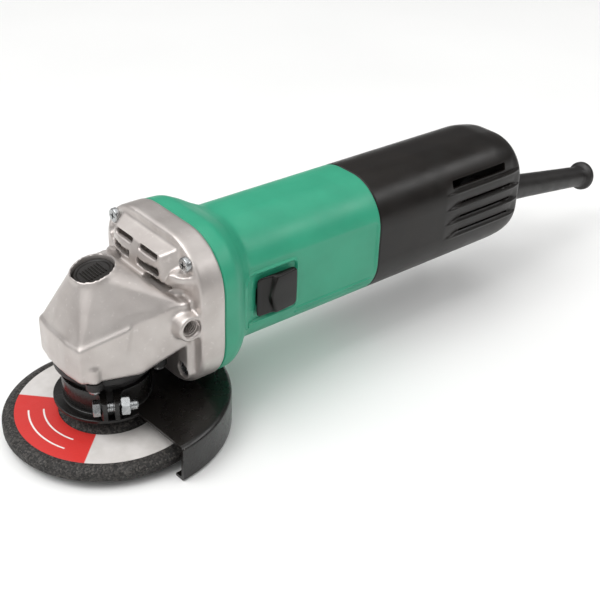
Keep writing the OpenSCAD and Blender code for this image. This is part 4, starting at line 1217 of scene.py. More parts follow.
@dataclass
class Shell:
    """A moulded tube along the motor axis, with features pressed into its outer skin.

    Attributes:
        stations: x, half-width, half-height, corner radius and rise of the outer sections.
        wall: Wall thickness.
        inner: x range of the inner skin.
    """

    stations: tuple[tuple[float, float, float, float, float], ...]
    wall: float
    inner: tuple[float, float]

    def size_at(self, x: np.ndarray) -> np.ndarray:
        """Section sizes at each x, smooth between the stations."""
        table = np.array(self.stations)
        step = np.diff(table[:, 0])
        slope = np.diff(table[:, 1:], axis=0) / step[:, None]
        tangent = np.zeros_like(table[:, 1:])
        same = slope[:-1] * slope[1:] > 0
        tangent[1:-1] = np.where(same, 2 * slope[:-1] * slope[1:] / np.where(same, slope[:-1] + slope[1:], 1), 0)
        k = np.clip(np.searchsorted(table[:, 0], x, side="right") - 1, 0, len(step) - 1)
        t = ((x - table[k, 0]) / step[k])[:, None]
        h = step[k][:, None]
        a, b = table[k, 1:], table[k + 1, 1:]
        return (a * (1 + 2 * t) * (1 - t) ** 2 + tangent[k] * h * t * (1 - t) ** 2
                + b * t * t * (3 - 2 * t) + tangent[k + 1] * h * t * t * (t - 1))

    def round_trip(self, share: np.ndarray, sizes: np.ndarray, inset: float = 0.0) -> tuple[np.ndarray, np.ndarray]:
        """Points and outward normals of sections.

        Args:
            share: Position round the outline, 0 to 8: whole numbers start a flat or a corner, from the near side up.
            sizes: One row of half-width, half-height, corner radius and rise.
            inset: How far inside the outline.

        Returns:
            (y, z) points and (y, z) normals.
        """
        half_w, half_h, corner, rise = sizes
        half_w, half_h, corner = half_w - inset, half_h - inset, max(corner - inset, 0.5)
        fy, fz = half_w - corner, half_h - corner
        leg, part = np.floor(share).astype(int) % 8, share - np.floor(share)
        corners = {1: (-fy, fz, 180, -90), 3: (fy, fz, 90, -90), 5: (fy, -fz, 0, -90), 7: (-fy, -fz, -90, -90)}
        flats = {0: ((-half_w, -fz), (-half_w, fz), (-1, 0)), 2: ((-fy, half_h), (fy, half_h), (0, 1)),
                 4: ((half_w, fz), (half_w, -fz), (1, 0)), 6: ((fy, -half_h), (-fy, -half_h), (0, -1))}
        spot, face = np.zeros((len(share), 2)), np.zeros((len(share), 2))
        for k, (cy, cz, start, sweep) in corners.items():
            on = leg == k
            a = np.radians(start + sweep * part[on])
            face[on] = np.stack([np.cos(a), np.sin(a)], 1)
            spot[on] = np.array([cy, cz]) + corner * face[on]
        for k, (p, q, normal) in flats.items():
            on = leg == k
            spot[on] = np.array(p) + (np.array(q) - np.array(p)) * part[on][:, None]
            face[on] = normal
        return spot + np.array([0, rise]), face

    def make(self, name: str, xs: Sequence[float], around: np.ndarray,
             depth: Callable[[np.ndarray, np.ndarray, np.ndarray, np.ndarray], np.ndarray],
             closed_end: bool = False) -> Object:
        """Builds the closed shell.

        Args:
            name: Name of the result.
            xs: Rings of the outer skin.
            around: Positions round the outline.
            depth: Depth of the features from x, side (-1 near to 1 far), y and height over the motor axis.
            closed_end: Whether the last ring is the edge of an end wall.

        Returns:
            The closed solid.
        """
        rings = []
        for x in xs:
            spot, face = self.round_trip(around, self.size_at(np.array([x]))[0])
            deep = depth(np.full(len(around), x), face[:, 0], spot[:, 0], spot[:, 1])
            spot = spot - face * deep[:, None]
            rings.append([(x, y, z + AXIS_H) for y, z in spot])
        far, near = self.inner[1], self.inner[0]
        if closed_end:
            last = self.size_at(np.array([xs[-1]]))[0]
            for inset in (4.0, 10.0, 16.0, 22.0):
                spot, _ = self.round_trip(around, last, inset)
                rings.append([(xs[-1] + 0.15, y, z + AXIS_H) for y, z in spot])
        inner_xs = [far - (far - near) * k / 6 for k in range(7)]
        if closed_end:
            spot, _ = self.round_trip(around, self.size_at(np.array([far]))[0], 22.0)
            rings.append([(far, y, z + AXIS_H) for y, z in spot])
        for x in inner_xs:
            spot, _ = self.round_trip(around, self.size_at(np.array([x]))[0], self.wall)
            rings.append([(x, y, z + AXIS_H) for y, z in spot])
        if closed_end:
            return self.cap_tail(name, rings, len(xs) + 3)
        return loft(name, rings, caps=False, loop=True)

    def cap_tail(self, name: str, rings: list[list[Point]], wall_ring: int) -> Object:
        """Joins outer and inner skin at the front, and closes the tail's end wall in its middle.

        Args:
            name: Name of the result.
            rings: Outer rings front to back, then inner rings back to front.
            wall_ring: Index of the last ring on the outside of the end wall.

        Returns:
            The closed solid.
        """
        count = len(rings[0])
        points = [p for ring in rings for p in ring]
        faces: list[Sequence[int]] = []
        for i in range(len(rings)):
            if i == wall_ring:
                continue
            a, b = i * count, ((i + 1) % len(rings)) * count
            faces += [(a + j, a + (j + 1) % count, b + (j + 1) % count, b + j) for j in range(count)]
        faces.append(tuple(range(wall_ring * count, (wall_ring + 1) * count)))
        faces.append(tuple(range((wall_ring + 1) * count, (wall_ring + 2) * count))[::-1])
        return tidy(new_object(name, points, faces))


def steps(*stretches: tuple[float, float, float]) -> list[float]:
    """Sorted positions from stretches of (start, stop, spacing), without near doubles."""
    found = sorted(a + (b - a) * k / max(round((b - a) / d), 1) for a, b, d in stretches
                   for k in range(max(round((b - a) / d), 1) + 1))
    out = [found[0]]
    for x in found[1:]:
        if x - out[-1] > 0.12:
            out.append(x)
    return out


@dataclass
class MotorHousing:
    """The green motor housing: flange collar, shoulder and grip, with the switch's recess.

    Attributes:
        shell: The moulded tube.
        side: The grip's flat side panel.
        features: Recesses, lips and pads of the near side.
    """

    shell: Shell = field(default_factory=lambda: Shell(
        ((40.0, 39.0, 37.5, 25.3, 1.0), (40.5, 39.7, 38.2, 26.0, 1.0), (46.5, 39.3, 38.1, 26.0, 1.0),
         (52.0, 36.4, 36.8, 25.0, 0.6), (58.0, 31.4, 34.4, 24.0, 0.2), (63.5, 28.4, 33.1, 24.0, 0.0),
         (66.0, 28.3, 33.0, 24.0, 0.0), (144.4, 28.3, 33.0, 24.0, 0.0), (145.0, 27.9, 32.6, 23.6, 0.0)), 2.4,
         (41.0, 144.9)))
    panel: Panel = field(default_factory=lambda: Panel((61, 143.4), (-19.2, 15.2), 27.4, 3.0, 1.2))
    recess: Panel = field(default_factory=lambda: Panel((58.2, 90.2), (-13.9, 10.9), 27.1, 2.0, 0.5))
    pads: tuple[Panel, ...] = (Panel((61.0, 64.6), (3.6, 8.4), 0.9, 0.6, 0.5),
                               Panel((60.2, 63.8), (-4.0, 0.8), 0.9, 0.6, 0.5),
                               Panel((61.0, 64.6), (-12.0, -7.2), 0.9, 0.6, 0.5))
    proud: tuple[Panel, ...] = (Panel((56.8, 91.6), (-15.4, 12.4), 1.0, 3.6, 1.0),
                                Panel((92, 142.4), (-17.6, -16.4), 0.7, 0.5, 0.5),
                                Panel((92, 142.4), (-20.9, -19.7), 0.5, 0.5, 0.5))

    def depth(self, x: np.ndarray, side: np.ndarray, y: np.ndarray, z: np.ndarray) -> np.ndarray:
        """Depth of the outer skin's features.

        Args:
            x: Position along the motor.
            side: Outward normal's share across, -1 on the near side.
            y: Position across before the features.
            z: Height over the motor axis.

        Returns:
            Depth in millimetres along the normal.
        """
        slant = np.maximum(np.abs(side), 0.35)
        flat = np.maximum(np.abs(y) - self.panel.depth, 0) / slant * self.panel.share(x, z) * (np.abs(side) > 0.2)
        out = flat.copy()
        for item in self.proud:
            out -= item.depth * item.share(x, z) * (side < -0.2)
        floor = np.full_like(z, self.recess.depth)
        for pad in self.pads:
            floor += pad.depth * pad.share(x, z)
        inside = self.recess.share(x, z) * (side < -0.2)
        return out * (1 - inside) + np.maximum(np.abs(y) - floor, 0) / slant * inside

    def build(self) -> None:
        """Builds the motor housing."""
        xs = steps((40, 41, 0.25), (41, 57, 1.0), (57, 93, 0.4), (93, 142, 2.0), (142, 145, 0.3))
        fine = np.array(steps((7.55, 8.0, 0.012), (8.0, 9.0, 0.022), (9.0, 9.45, 0.012))) % 8
        legs = [np.linspace(k, k + 1, n, endpoint=False) for k, n in
                ((1, 60), (2, 8), (3, 48), (4, 16), (5, 48), (6, 8), (7, 60))]
        around = np.unique(np.round(np.concatenate([fine, *legs, np.linspace(0, 1, 46, endpoint=False)]), 4))
        shell = self.shell.make("motor_housing", xs, around, self.depth)
        shell = combined(shell, slab("knob_slot", (66, -30, AXIS_H - 6), (83.5, -20, AXIS_H + 3), 0.6), Cut.TAKE)
        publish(shell, "motor_housing_shell", Body.HOUSING, GREEN_NYLON, ["motor_housing"], crease=40)


@dataclass
class TailCover:
    """The black tail cover with louvred air inlets on both sides.

    Attributes:
        shell: The moulded cup.
        ridges: Heights of the louvre ridges over the motor axis.
        reach: x range of the louvres: start, full depth, end of full depth, end.
        step: Depth of a louvre under its ridge.
    """

    shell: Shell = field(default_factory=lambda: Shell(
        ((145.0, 27.9, 32.6, 23.6, 0.0), (145.6, 28.3, 33.0, 24.0, 0.0), (236.0, 28.3, 33.0, 24.0, 0.0),
         (246.0, 28.0, 32.0, 23.4, -0.4), (252.0, 27.1, 30.6, 22.4, -0.6), (255.2, 25.4, 28.8, 20.8, -0.7),
         (256.6, 23.2, 26.8, 18.8, -0.7), (257.0, 20.8, 24.6, 16.6, -0.7)), 2.4, (145.4, 251.0)))
    ridges: tuple[float, ...] = (15.0, 6.2, -2.3, -10.8, -19.0)
    reach: tuple[float, float, float, float] = (193.0, 204.0, 248.5, 254.5)
    step: float = 1.9

    def depth(self, x: np.ndarray, side: np.ndarray, y: np.ndarray, z: np.ndarray) -> np.ndarray:
        """Depth of the louvres: each steps in over its ridge and comes out again up to the next one.

        Args:
            x: Position along the motor.
            side: Outward normal's share across.
            y: Position across before the louvres.
            z: Height over the motor axis.

        Returns:
            Depth in millimetres.
        """
        start, full, fade, end = self.reach
        along = np.clip((x - start) / (full - start), 0, 1) * np.clip((end - x) / (end - fade), 0, 1)
        out = np.zeros_like(z)
        tops = (22.5,) + self.ridges[:-1]
        for low, high in zip(self.ridges[:-1], tops):
            t = (z - low) / (high - low)
            saw = np.where((t > 0) & (t < 1), np.clip(t / 0.07, 0, 1) * (1 - np.clip(t, 0, 1)) ** 1.1, 0)
            crest = np.exp(-(((z - low + 0.5) / 0.55) ** 2)) * 0.35
            out = out + self.step * saw - crest
        return out * along * (np.abs(side) > 0.45)

    def build(self) -> None:
        """Builds the tail cover with its inlet openings."""
        xs = steps((145, 146, 0.3), (146, 192, 4.0), (192, 255, 0.9), (253, 257, 0.35))
        legs = [np.linspace(k, k + 1, n, endpoint=False) for k, n in
                ((0, 60), (1, 110), (2, 8), (3, 110), (4, 60), (5, 80), (6, 8), (7, 80))]
        shell = self.shell.make("tail_cover", xs, np.concatenate(legs), self.depth, closed_end=True)
        for side in (-1, 1):
            y = sorted((side * 20.0, side * 40.0))
            shell = combined(shell, slab("window", (199, y[0], AXIS_H + 16.9), (241, y[1], AXIS_H + 21.4), 0.7),
                             Cut.TAKE)
            for low in self.ridges[:-1]:
                if low < 10:
                    shell = combined(shell, slab("inlet", (206, y[0], AXIS_H + low + 0.9),
                                                 (246, y[1], AXIS_H + low + 2.4), 0.5), Cut.TAKE)
        publish(shell, "tail_cover_shell", Body.HOUSING, BLACK_NYLON, ["tail_cover"], crease=40)
        screw = moved(pan_screw(3.4, 1.1, 1.9, 8), aim((151, 0, AXIS_H - 31.8), (0, 0, -1), 20))
        publish(screw, "tail_cover_screw", Body.HOUSING, ZINC_STEEL, ["tail_screw"])


@dataclass
class CordGuard:
    """The rubber sleeve at the tail. Its outline is radius over distance from the end wall."""

    outline: tuple[tuple[float, float, float], ...] = (
        (3.6, -12, 0.4), (9.8, -12, 0.5), (9.8, -4.6, 0.4), (7.5, -4.6, 0.4), (7.5, 0.4, 0.3), (8.3, 0.6, 0.4),
        (8.2, 6, 4), (7.2, 40, 20), (6.4, 90, 2.5), (6.7, 93.2, 1.5), (8.9, 94.8, 1.2), (9.0, 97.6, 1.6),
        (7.4, 99, 1.2),
        (4.6, 99, 0.6), (3.6, 97.6, 0.6))
    place: Point = (257.0, 0.0, AXIS_H - 10.8)
    droop: float = 8.9

    def build(self) -> None:
        """Builds the sleeve."""
        sleeve = turned("cord_guard", rounded(self.outline, 6), steps=72)
        down = math.radians(self.droop)
        moved(sleeve, aim(self.place, (math.cos(down), 0, -math.sin(down))))
        publish(sleeve, "cord_guard_sleeve", Body.HOUSING, RUBBER, ["cord_guard"])


# ---------------------------------------------------------------- wheel, guard and bearing cover


@dataclass
class WheelSet:
    """The depressed-centre wheel with its label, and the nut that clamps it. Outlines are radius, height, corner."""

    wheel: tuple[tuple[float, float, float], ...] = (
        (9.2, 0, 0.1), (18.6, 0, 1.2), (23.2, -4.5, 1.4), (46.6, -4.5, 0.8), (49.5, -5.8, 0.6), (50, -6.6, 0.4),
        (50, -9.8, 0.3), (49.2, -10.5, 0.3), (21.4, -10.5, 1.4), (16.6, -6, 1.2), (9.2, -6, 0.1))
    nut: tuple[tuple[float, float, float], ...] = (
        (5.0, -10.4, 0.3), (14.2, -10.4, 0.5), (14.5, -9.9, 0.3), (14.5, -6.05, 0.3), (7.95, -6.0, 0),
        (7.95, -4.6, 0.3), (5.0, -4.6, 0.2))
    label: tuple[float, float, float, float] = (23.9, 44.2, -4.55, -4.25)

    def build(self) -> None:
        """Builds the wheel, its label and the lock nut."""
        wheel = turned("wheel", rounded(self.wheel, 5), steps=192)
        publish(wheel, "grinding_wheel_disc", Body.SPINDLE, ABRASIVE, ["grinding_wheel"], crease=50)
        inner, outer, low, high = self.label
        outline = [(inner, low), (outer, low), (outer, high - 0.08), (outer - 0.12, high)]
        outline += [(outer - (outer - inner) * k / 8, high) for k in range(1, 8)]
        outline += [(inner + 0.1, high), (inner, high - 0.08)]
        publish(turned("label", outline, steps=192), "wheel_label_disc", Body.SPINDLE, LABEL, ["wheel_label"])
        nut = turned("nut", rounded(self.nut, 3), steps=96)
        for k in range(4):
            a = math.radians(45 + 90 * k)
            hole = bar("pin_hole", (10.5 * math.cos(a), 10.5 * math.sin(a), -12), (0, 0, 1), 4.4, 2.0, steps=24)
            nut = combined(nut, hole, Cut.TAKE)
        publish(nut, "wheel_lock_nut", Body.SPINDLE, ENAMEL, ["lock_nut"])
        corners = ((5.05, -3.5, 0.3), (7.95, -3.5, 0.3), (7.95, 0, 0), (15.2, 0, 0.2), (15.5, 0.3, 0.2),
                   (15.5, 2.6, 0.5), (11, 2.6, 0.6), (11, 5.0, 0.5), (5.05, 5.0, 0.3))
        flange = turned("flange", rounded(corners, 4), steps=96)
        publish(flange, "inner_wheel_flange", Body.SPINDLE, ENAMEL, ["inner_flange"])


@dataclass
class Guard:
    """The sheet-metal wheel guard, its clamping band, screw and nut.

    Attributes:
        half_angle: Half of the guard's cover about +X, in degrees.
        outline: Sheet section as radius, height and corner radius, outer skin then inner skin.
        ear_angle: Direction of the clamping ears in degrees.
        clamp: Radius and height of the clamping screw's axis.
    """

    half_angle: float = 87.0
    outline: tuple[tuple[float, float, float], ...] = (
        (22.0, 4.6, 0.1), (56.6, 4.6, 2.2), (58.3, 3.2, 1.6), (58.3, -13.6, 1.2), (57.4, -14.5, 1.0),
        (52.5, -14.5, 0.5),
        (52.3, -13.8, 0.4), (52.6, -12.95, 0.4), (56.1, -12.9, 0.8), (56.7, -12.2, 0.8), (56.7, 2.2, 1.2),
        (55.4, 3.0, 1.2),
        (22.0, 3.0, 0.1))
    ear_angle: float = -117.0
    clamp: tuple[float, float] = (25.5, 12.5)

    def shell(self) -> Object:
        """The guard's cover and collar."""
        cover = turned("cover", rounded(self.outline, 5), steps=240, start=-self.half_angle, sweep=2 * self.half_angle)
        flat = turned("flat", rounded(((19.12, 3.0, 0.1), (25.5, 3.0, 0.4), (25.5, 4.6, 0.5), (20.8, 4.6, 0.8),
                                       (20.4, 5.4, 0.8), (20.4, 8.0, 0.2), (19.12, 8.0, 0.2)), 4), steps=144)
        return combined(flat, cover, Cut.JOIN)

    def band(self) -> Object:
        """The open band with its two ears."""
        inner = [(19.12 * math.cos(a), 19.12 * math.sin(a)) for a in
                 (math.asin(1.6 / 19.12) + (2 * math.pi - 2 * math.asin(1.6 / 19.12)) * k / 90 for k in range(91))]
        outer = [(21.0 * math.cos(a), 21.0 * math.sin(a)) for a in
                 (math.asin(6.4 / 21.0) + (2 * math.pi - 2 * math.asin(6.4 / 21.0)) * k / 90 for k in range(91))]
        ear = [(22.4, -4.75), (23.4, -4.6), (28.2, -4.6), (30, -3.6), (30, -1.6)]
        outline = inner + [(x, y) for x, y in reversed(ear)] + outer[::-1] + [(x, -y) for x, y in ear]
        band = prism("band", outline, 8.05, 17.0, 0.25)
        reach, height = self.clamp
        return combined(band, bar("way", (reach, -10, height), (0, 1, 0), 20, 2.55), Cut.TAKE)

    def build(self, thread: ThreadNodes) -> None:
        """Builds the guard.

        Args:
            thread: The node tree that winds screw threads.
        """
        publish(self.shell(), "wheel_guard_shell", Body.GUARD, ENAMEL, ["wheel_guard"], crease=35)
        turn = Matrix.Rotation(math.radians(self.ear_angle), 4, "Z")
        publish(moved(self.band(), turn), "guard_band_clamp", Body.GUARD, ENAMEL, ["guard_band"], crease=35)
        reach, height = self.clamp
        across = aim((reach, -4.6, height), (0, 1, 0))
        head = hexagon("head", 4.0, -3.4, 0.0)
        cross = [hull("blade", [(x, y, z) for z, w in ((-4.2, 0.5), (-2.2, 0.35)) for x in (-1.9, 1.9) for y in (-w,
                                                                                                                 w)])
                 for _ in range(2)]
        for blade, angle in zip(cross, (0, 90)):
            combined(head, moved(blade, Matrix.Rotation(math.radians(angle), 4, "Z")), Cut.TAKE)
        shank = turned("shank", [(0.001, -0.2), (2.28, -0.2), (2.28, 16.4), (1.8, 17.0), (0.001, 17.0)], steps=40)
        screw = combined(head, shank, Cut.JOIN)
        wound = thread.wind("clamp_thread", 2.28, 0.8, 13.0, 0.22, 2.4, ZINC_STEEL)
        screw = joined("screw", [screw, wound])
        publish(moved(screw, turn @ across), "guard_clamp_bolt", Body.GUARD, ZINC_STEEL, ["guard_clamp_screw"])
        nut = combined(hexagon("nut", 4.6, 0.0, 4.0), bar("way", (0, 0, -1), (0, 0, 1), 6, 2.5), Cut.TAKE)
        place = aim((reach, 4.6, height), (0, 1, 0), 30)
        publish(moved(nut, turn @ place), "guard_clamp_nut_hex", Body.GUARD, ZINC_STEEL, ["guard_clamp_nut"])


def hexagon(name: str, radius: float, low: float, high: float) -> Object:
    """A hexagonal head or nut with turned-down corners.

    Args:
        name: Name of the result.
        radius: Radius over the corners.
        low: Lower height.
        high: Upper height.

    Returns:
        The closed solid.
    """
    corners = [(radius * math.cos(math.radians(60 * k)), radius * math.sin(math.radians(60 * k)),
                0.25) for k in range(6)]
    body = prism(name, rounded(corners, 3), low, high, 0.12)
    dome = turned("dome", [(0.001, low - 0.01), (radius * 0.88, low - 0.01), (radius * 1.01, low + radius * 0.11),
                           (radius * 1.01, high - radius * 0.11), (radius * 0.88, high + 0.01), (0.001, high + 0.01)],
                           steps=72)
    mod = body.modifiers.new("turned", "BOOLEAN")
    mod.operation, mod.object, mod.solver = "INTERSECT", dome, "MANIFOLD"
    baked(body)
    discard(dome)
    return body


@dataclass
class BearingCover:
    """The black cover under the gear chamber. The outline is its section: radius, height, corner radius."""

    outline: tuple[tuple[float, float, float], ...] = (
        (5.6, 5.6, 0.3), (17.6, 5.6, 0.8), (19.0, 6.6, 0.6), (19.0, 20.6, 0.5), (18.4, 21.2, 0.3), (19.6, 22.4, 0.6),
        (23.4, 22.4, 0.6), (24.0, 23.0, 0.4), (24.0, 26.0, 0.3), (22.25, 26.0, 0.1), (22.25, 29.0, 0.4),
        (12.0, 29.0, 0.3),
        (12.0, 9.5, 0.1), (5.6, 9.5, 0.2))
    screws: tuple[tuple[float, float], ...] = ((-16.5, -18.5), (-16.5, 18.5), (16.5, -19), (16.5, 19))

    def build(self) -> None:
        """Builds the cover."""
        cover = turned("cover", rounded(self.outline, 4), steps=144)
        bore = self.seat()
        for x, y in self.screws:
            cover = combined(cover, bar("ear", (x, y, 22.4), (0, 0, 1), 3.6, 3.9, edge=0.5), Cut.JOIN)
        for x, y in self.screws:
            cover = combined(cover, bar("way", (x, y, 10), (0, 0, 1), 20, 1.6, steps=24), Cut.TAKE)
        cover = combined(cover, bore, Cut.TAKE)
        publish(cover, "bearing_cover_casting", Body.HOUSING, BLACK_CASTING, ["bearing_cover"])

    def seat(self) -> Object:
        """Cutter of the bearing's seat, taken from the bearing it holds."""
        low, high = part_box("spindle_bearing_outer")
        radius = (high.x - low.x) / 2 / MM
        return bar("seat", (0, 0, low.z / MM), (0, 0, 1), 30, radius, steps=96)


# ---------------------------------------------------------------- controls


@dataclass
class LockButton:
    """The round spindle-lock button in its slanted well.

    Attributes:
        radius: Button radius.
        foot: Height of its lower face.
        tilt: Slant of its upper face in degrees.
        face: Height of the upper face at the axis.
    """

    radius: float = 9.45
    foot: float = 66.0
    tilt: float = 13.6
    face: float = AXIS_H + 23.4
    x: float = -3.2

    def spring(self, thread: ThreadNodes) -> None:
        """Builds the button's coil spring, wound to the size of the modelled spring.

        Args:
            thread: The node tree that winds coils.
        """
        low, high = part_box("lock_spring")
        middle = (low + high) / 2
        wire = 0.4
        length = (high.z - low.z) / MM - 2 * wire
        coil = thread.wind("lock_coil", (high.x - low.x) / 2 / MM - wire, length / 5, length, wire, low.z / MM + wire,
                           SPRING_STEEL)
        coil = publish(moved(coil, Matrix.Translation((middle.x / MM, 0, 0))), "lock_button_spring", Body.HOUSING,
                       SPRING_STEEL, ["lock_spring"])
        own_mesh(coil)

    def build(self, ribs: RibNodes, thread: ThreadNodes) -> None:
        """Builds the button with its grip ribs, and its spring.

        Args:
            ribs: The node tree that lays rows of ribs.
            thread: The node tree that winds coils.
        """
        self.spring(thread)
        lean = Matrix.Translation((self.x, 0, self.face)) @ Matrix.Rotation(-math.radians(self.tilt), 4, "Y")
        rings = []
        floor = [(self.x + self.radius * math.cos(a), self.radius * math.sin(a), self.foot)
                 for a in (2 * math.pi * k / 72 for k in range(72))]
        rings.append([(self.x + (x - self.x) * 0.2, y * 0.2, z) for x, y, z in floor])
        rings.append(floor)
        for r, h in ((9.45, -0.9), (9.3, -0.35), (8.9, 0.0), (8.2, 0.12), (7.6, -0.1), (7.3, -0.45), (6.0, -0.55),
                     (3.0, -0.6), (0.4, -0.6)):
            ring = []
            for k in range(72):
                a = 2 * math.pi * k / 72
                spot = lean @ Vector((r * math.cos(a), r * math.sin(a), h))
                if r == self.radius:
                    spot = Vector((self.x + r * math.cos(a), r * math.sin(a), spot.z))
                ring.append(tuple(spot))
            rings.append(ring)
        button = loft("button", rings)
        rows = ribs.lay("button_ribs", 7, 1.5, 8.6, 0.7, 0.55, GLOSS_NYLON)
        button = joined("button", [button, moved(rows, lean @ Matrix.Translation((0, 0, -0.58)))])
        publish(button, "spindle_lock_button", Body.BUTTON, BLACK_NYLON, ["lock_button"])


@dataclass
class SlideSwitch:
    """The thumb pad of the slide switch on the near side. Heights are over the motor axis.

    Attributes:
        x: Range along the motor.
        z: Range of height.
        skin: Distance of the pad's edge plane from the middle plane.
    """

    x: tuple[float, float] = (65.6, 88.9)
    z: tuple[float, float] = (-11.8, 8.8)
    skin: float = 29.0

    def height(self, x: float, z: float) -> float:
        """How far the pad's face stands out of its edge plane at a point."""
        (x0, x1), (z0, z1) = self.x, self.z
        mid, half = (z0 + z1) / 2, (z1 - z0) / 2
        across = abs(z - mid) / half
        ridge = 72.4 + 3.4 * across ** 1.4
        front = 0.7 + 0.9 * max(0.0, (x - x0) / (ridge - x0)) ** 1.5
        rear = 3.6 - 1.5 * max(0.0, (x - ridge) / (x1 - ridge)) ** 1.3
        t = min(max((x - ridge + 1.6) / 2.0, 0.0), 1.0)
        t = t * t * (3 - 2 * t)
        return (front * (1 - t) + rear * t) * (1 - 0.22 * across ** 4)

    def build(self) -> None:
        """Builds the pad with its foot."""
        (x0, x1), (z0, z1) = self.x, self.z
        count, corner = 44, 2.6
        rim = rounded([(x0, z0, corner), (x1, z0, corner), (x1, z1, corner), (x0, z1, corner)], 8)
        dense: list[tuple[float, float]] = []
        for (ax, az), (bx, bz) in zip(rim, rim[1:] + rim[:1]):
            pieces = max(int(math.hypot(bx - ax, bz - az) / 0.6), 1)
            dense += [(ax + (bx - ax) * k / pieces, az + (bz - az) * k / pieces) for k in range(pieces)]
        mx, mz = (x0 + x1) / 2, (z0 + z1) / 2
        rings = [[(mx + (x - mx) * s, -self.skin, mz + (z - mz) * s + AXIS_H) for x, z in dense]
                 for s in (0.1, 1.0)]
        for k in range(6):
            a = math.radians(18 * k)
            s = 1 - 0.09 * (1 - math.cos(a))
            ring = []
            for x, z in dense:
                px, pz = mx + (x - mx) * s, mz + (z - mz) * s
                ring.append((px, -self.skin - self.height(px, pz) * (0.35 + 0.65 * math.sin(a)), pz + AXIS_H))
            rings.append(ring)
        for k in range(1, count):
            s = 0.91 * (1 - k / count)
            ring = []
            for x, z in dense:
                px, pz = mx + (x - mx) * s, mz + (z - mz) * s
                ring.append((px, -self.skin - self.height(px, pz), pz + AXIS_H))
            rings.append(ring)
        pad = loft("pad", rings)
        foot = slab("foot", (72.5, -29.4, AXIS_H - 5.5), (82.5, -25.9, AXIS_H + 2.5), 0.3)
        pad = combined(pad, foot, Cut.JOIN)
        pad = combined(pad, slab("lug_room", (74.6, -27.6, AXIS_H - 3.4), (80.4, -24, AXIS_H + 0.4), 0.1), Cut.TAKE)
        pad = combined(pad, bar("pin_way", (77.5, -26.5, AXIS_H - 6.5), (0, 0, 1), 10, 0.71, steps=24), Cut.TAKE)
        publish(pad, "switch_thumb_pad", Body.KNOB, GLOSS_NYLON, ["switch_knob"], crease=40)


# ---------------------------------------------------------------- internals and studio


class Internals:
    """The drive and electrical parts, kept in their modelled shape and given their materials."""

    finishes: tuple[Finish, ...] = (
        DIE_CAST, GREEN_NYLON, BLACK_NYLON, MATT_NYLON, RUBBER, ENAMEL, BLACK_CASTING, ZINC_STEEL, BEARING_STEEL,
        TOOL_STEEL,
        GEAR_STEEL, BRONZE, FELT, BUSH_STEEL, SPRING_STEEL, FAN_PLASTIC, LAMINATIONS, COPPER_WIRE, COMMUTATOR_COPPER,
        CARBON,
        CAPACITOR_FILM, WIRE_PVC, ABRASIVE, LABEL)

    def dress(self) -> None:
        """Gives every modelled node its finish by the record's slot."""
        by_slot = {finish.slot: finish for finish in self.finishes}
        for part in frame["record"]["subparts"]:
            node = frame["nodes"][part["node"]]
            finish = by_slot[part["material_slot"]]
            node.data.materials.clear()
            node.data.materials.append(finish.material())
            for face in node.data.polygons:
                face.material_index = 0


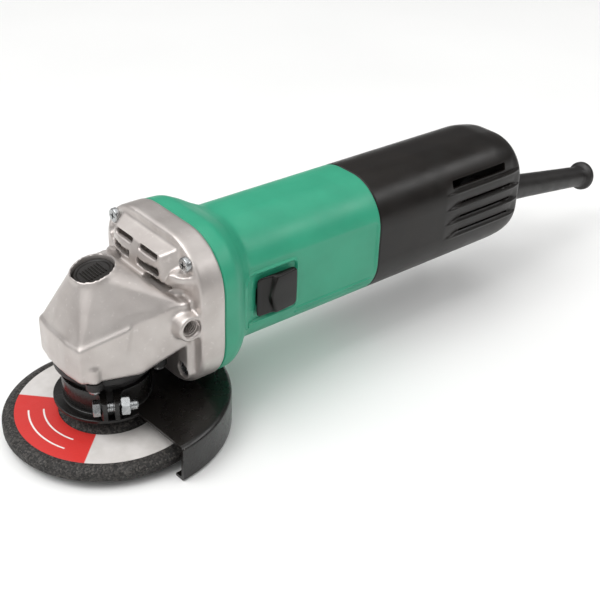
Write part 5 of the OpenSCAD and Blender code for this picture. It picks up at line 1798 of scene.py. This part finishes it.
@dataclass
class Studio:
    """Pale floor, soft lights and the camera.

    Attributes:
        floor: Height of the floor in metres.
        floor_half: Half its width.
        eye: Camera position in metres.
        azimuth: Camera's bearing about the object in degrees, 0 looking along +Y.
        elevation: Its angle over the horizon.
        roll: Its roll.
        lens: Focal length in millimetres on a 36 mm sensor.
    """

    floor: float = -0.0148
    floor_half: float = 6.0
    eye: Point = (-0.19705, -0.36756, 0.30563)
    azimuth: float = -40.52
    elevation: float = 31.36
    roll: float = 2.19
    lens: float = 64.06

    def camera(self) -> None:
        """Places the camera."""
        a, e, r = (math.radians(v) for v in (self.azimuth, self.elevation, self.roll))
        back = Vector((math.sin(a) * math.cos(e), -math.cos(a) * math.cos(e), math.sin(e)))
        level = Vector((math.cos(a), math.sin(a), 0))
        up = back.cross(level)
        right, top = level * math.cos(r) + up * math.sin(r), up * math.cos(r) - level * math.sin(r)
        data = bpy.data.cameras.new("camera")
        data.lens, data.sensor_width = self.lens, 36.0
        data.clip_start, data.clip_end = 0.01, 30.0
        camera = bpy.data.objects.new("camera", data)
        turn = Matrix((right, top, back)).transposed().to_4x4()
        camera.matrix_world = Matrix.Translation(self.eye) @ turn
        bpy.context.scene.collection.objects.link(camera)
        bpy.context.scene.camera = camera

    def light(self, name: str, place: Point, target: Point, power: float, wide: float, tall: float) -> None:
        """Adds a soft rectangular light.

        Args:
            name: The light's name.
            place: Its position in metres.
            target: The point it faces.
            power: Watts.
            wide: Width in metres.
            tall: Height in metres.
        """
        data = bpy.data.lights.new(name, "AREA")
        data.shape, data.size, data.size_y, data.energy = "RECTANGLE", wide, tall, power
        lamp = bpy.data.objects.new(name, data)
        facing = (Vector(place) - Vector(target)).to_track_quat("Z", "Y")
        lamp.matrix_world = Matrix.Translation(place) @ facing.to_matrix().to_4x4()
        bpy.context.scene.collection.objects.link(lamp)

    def build(self) -> None:
        """Builds the studio."""
        half = self.floor_half
        corners = [(x, y, self.floor) for x, y in ((-half, -half), (half, -half), (half, half), (-half, half))]
        floor = new_object("studio_floor", corners, [(0, 1, 2, 3)])
        floor.data.materials.append(FLOOR.material())
        world = bpy.data.worlds.new("studio")
        world.use_nodes = True
        back = world.node_tree.nodes["Background"]
        back.inputs["Color"].default_value = (1.0, 1.0, 1.0, 1.0)
        back.inputs["Strength"].default_value = 0.2
        bpy.context.scene.world = world
        sky = bpy.data.lights.new("sky", "SUN")
        sky.energy, sky.angle = 2.1, math.radians(100)
        dome = bpy.data.objects.new("sky", sky)
        dome.rotation_euler = (math.radians(-8), math.radians(-14), 0)
        bpy.context.scene.collection.objects.link(dome)
        self.light("key", (-0.55, 0.1, 1.05), (0.06, 0.0, 0.05), 6.5, 0.8, 0.8)
        self.light("front", (-0.7, -0.7, 0.4), (0.05, 0.0, 0.04), 0.5, 0.5, 0.4)
        self.light("sheen", (0.75, -0.55, 0.72), (0.18, 0.0, 0.06), 2.4, 0.9, 0.16)
        bpy.context.scene.view_settings.view_transform = "Standard"
        self.camera()


def main() -> None:
    """Builds the model in order and stages it."""
    logging.basicConfig(level=logging.INFO, format="%(name)s: %(message)s")
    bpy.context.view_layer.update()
    Internals().dress()
    screws, thread, ribs = NodeRow("screw_set"), ThreadNodes("screw_thread"), RibNodes("rib_row")
    GearHead().build(screws, thread)
    BearingCover().build()
    WheelSet().build()
    Guard().build(thread)
    LockButton().build(ribs, thread)
    MotorHousing().build()
    SlideSwitch().build()
    TailCover().build()
    CordGuard().build()
    Studio().build()


if __name__ == "__main__":
    main()
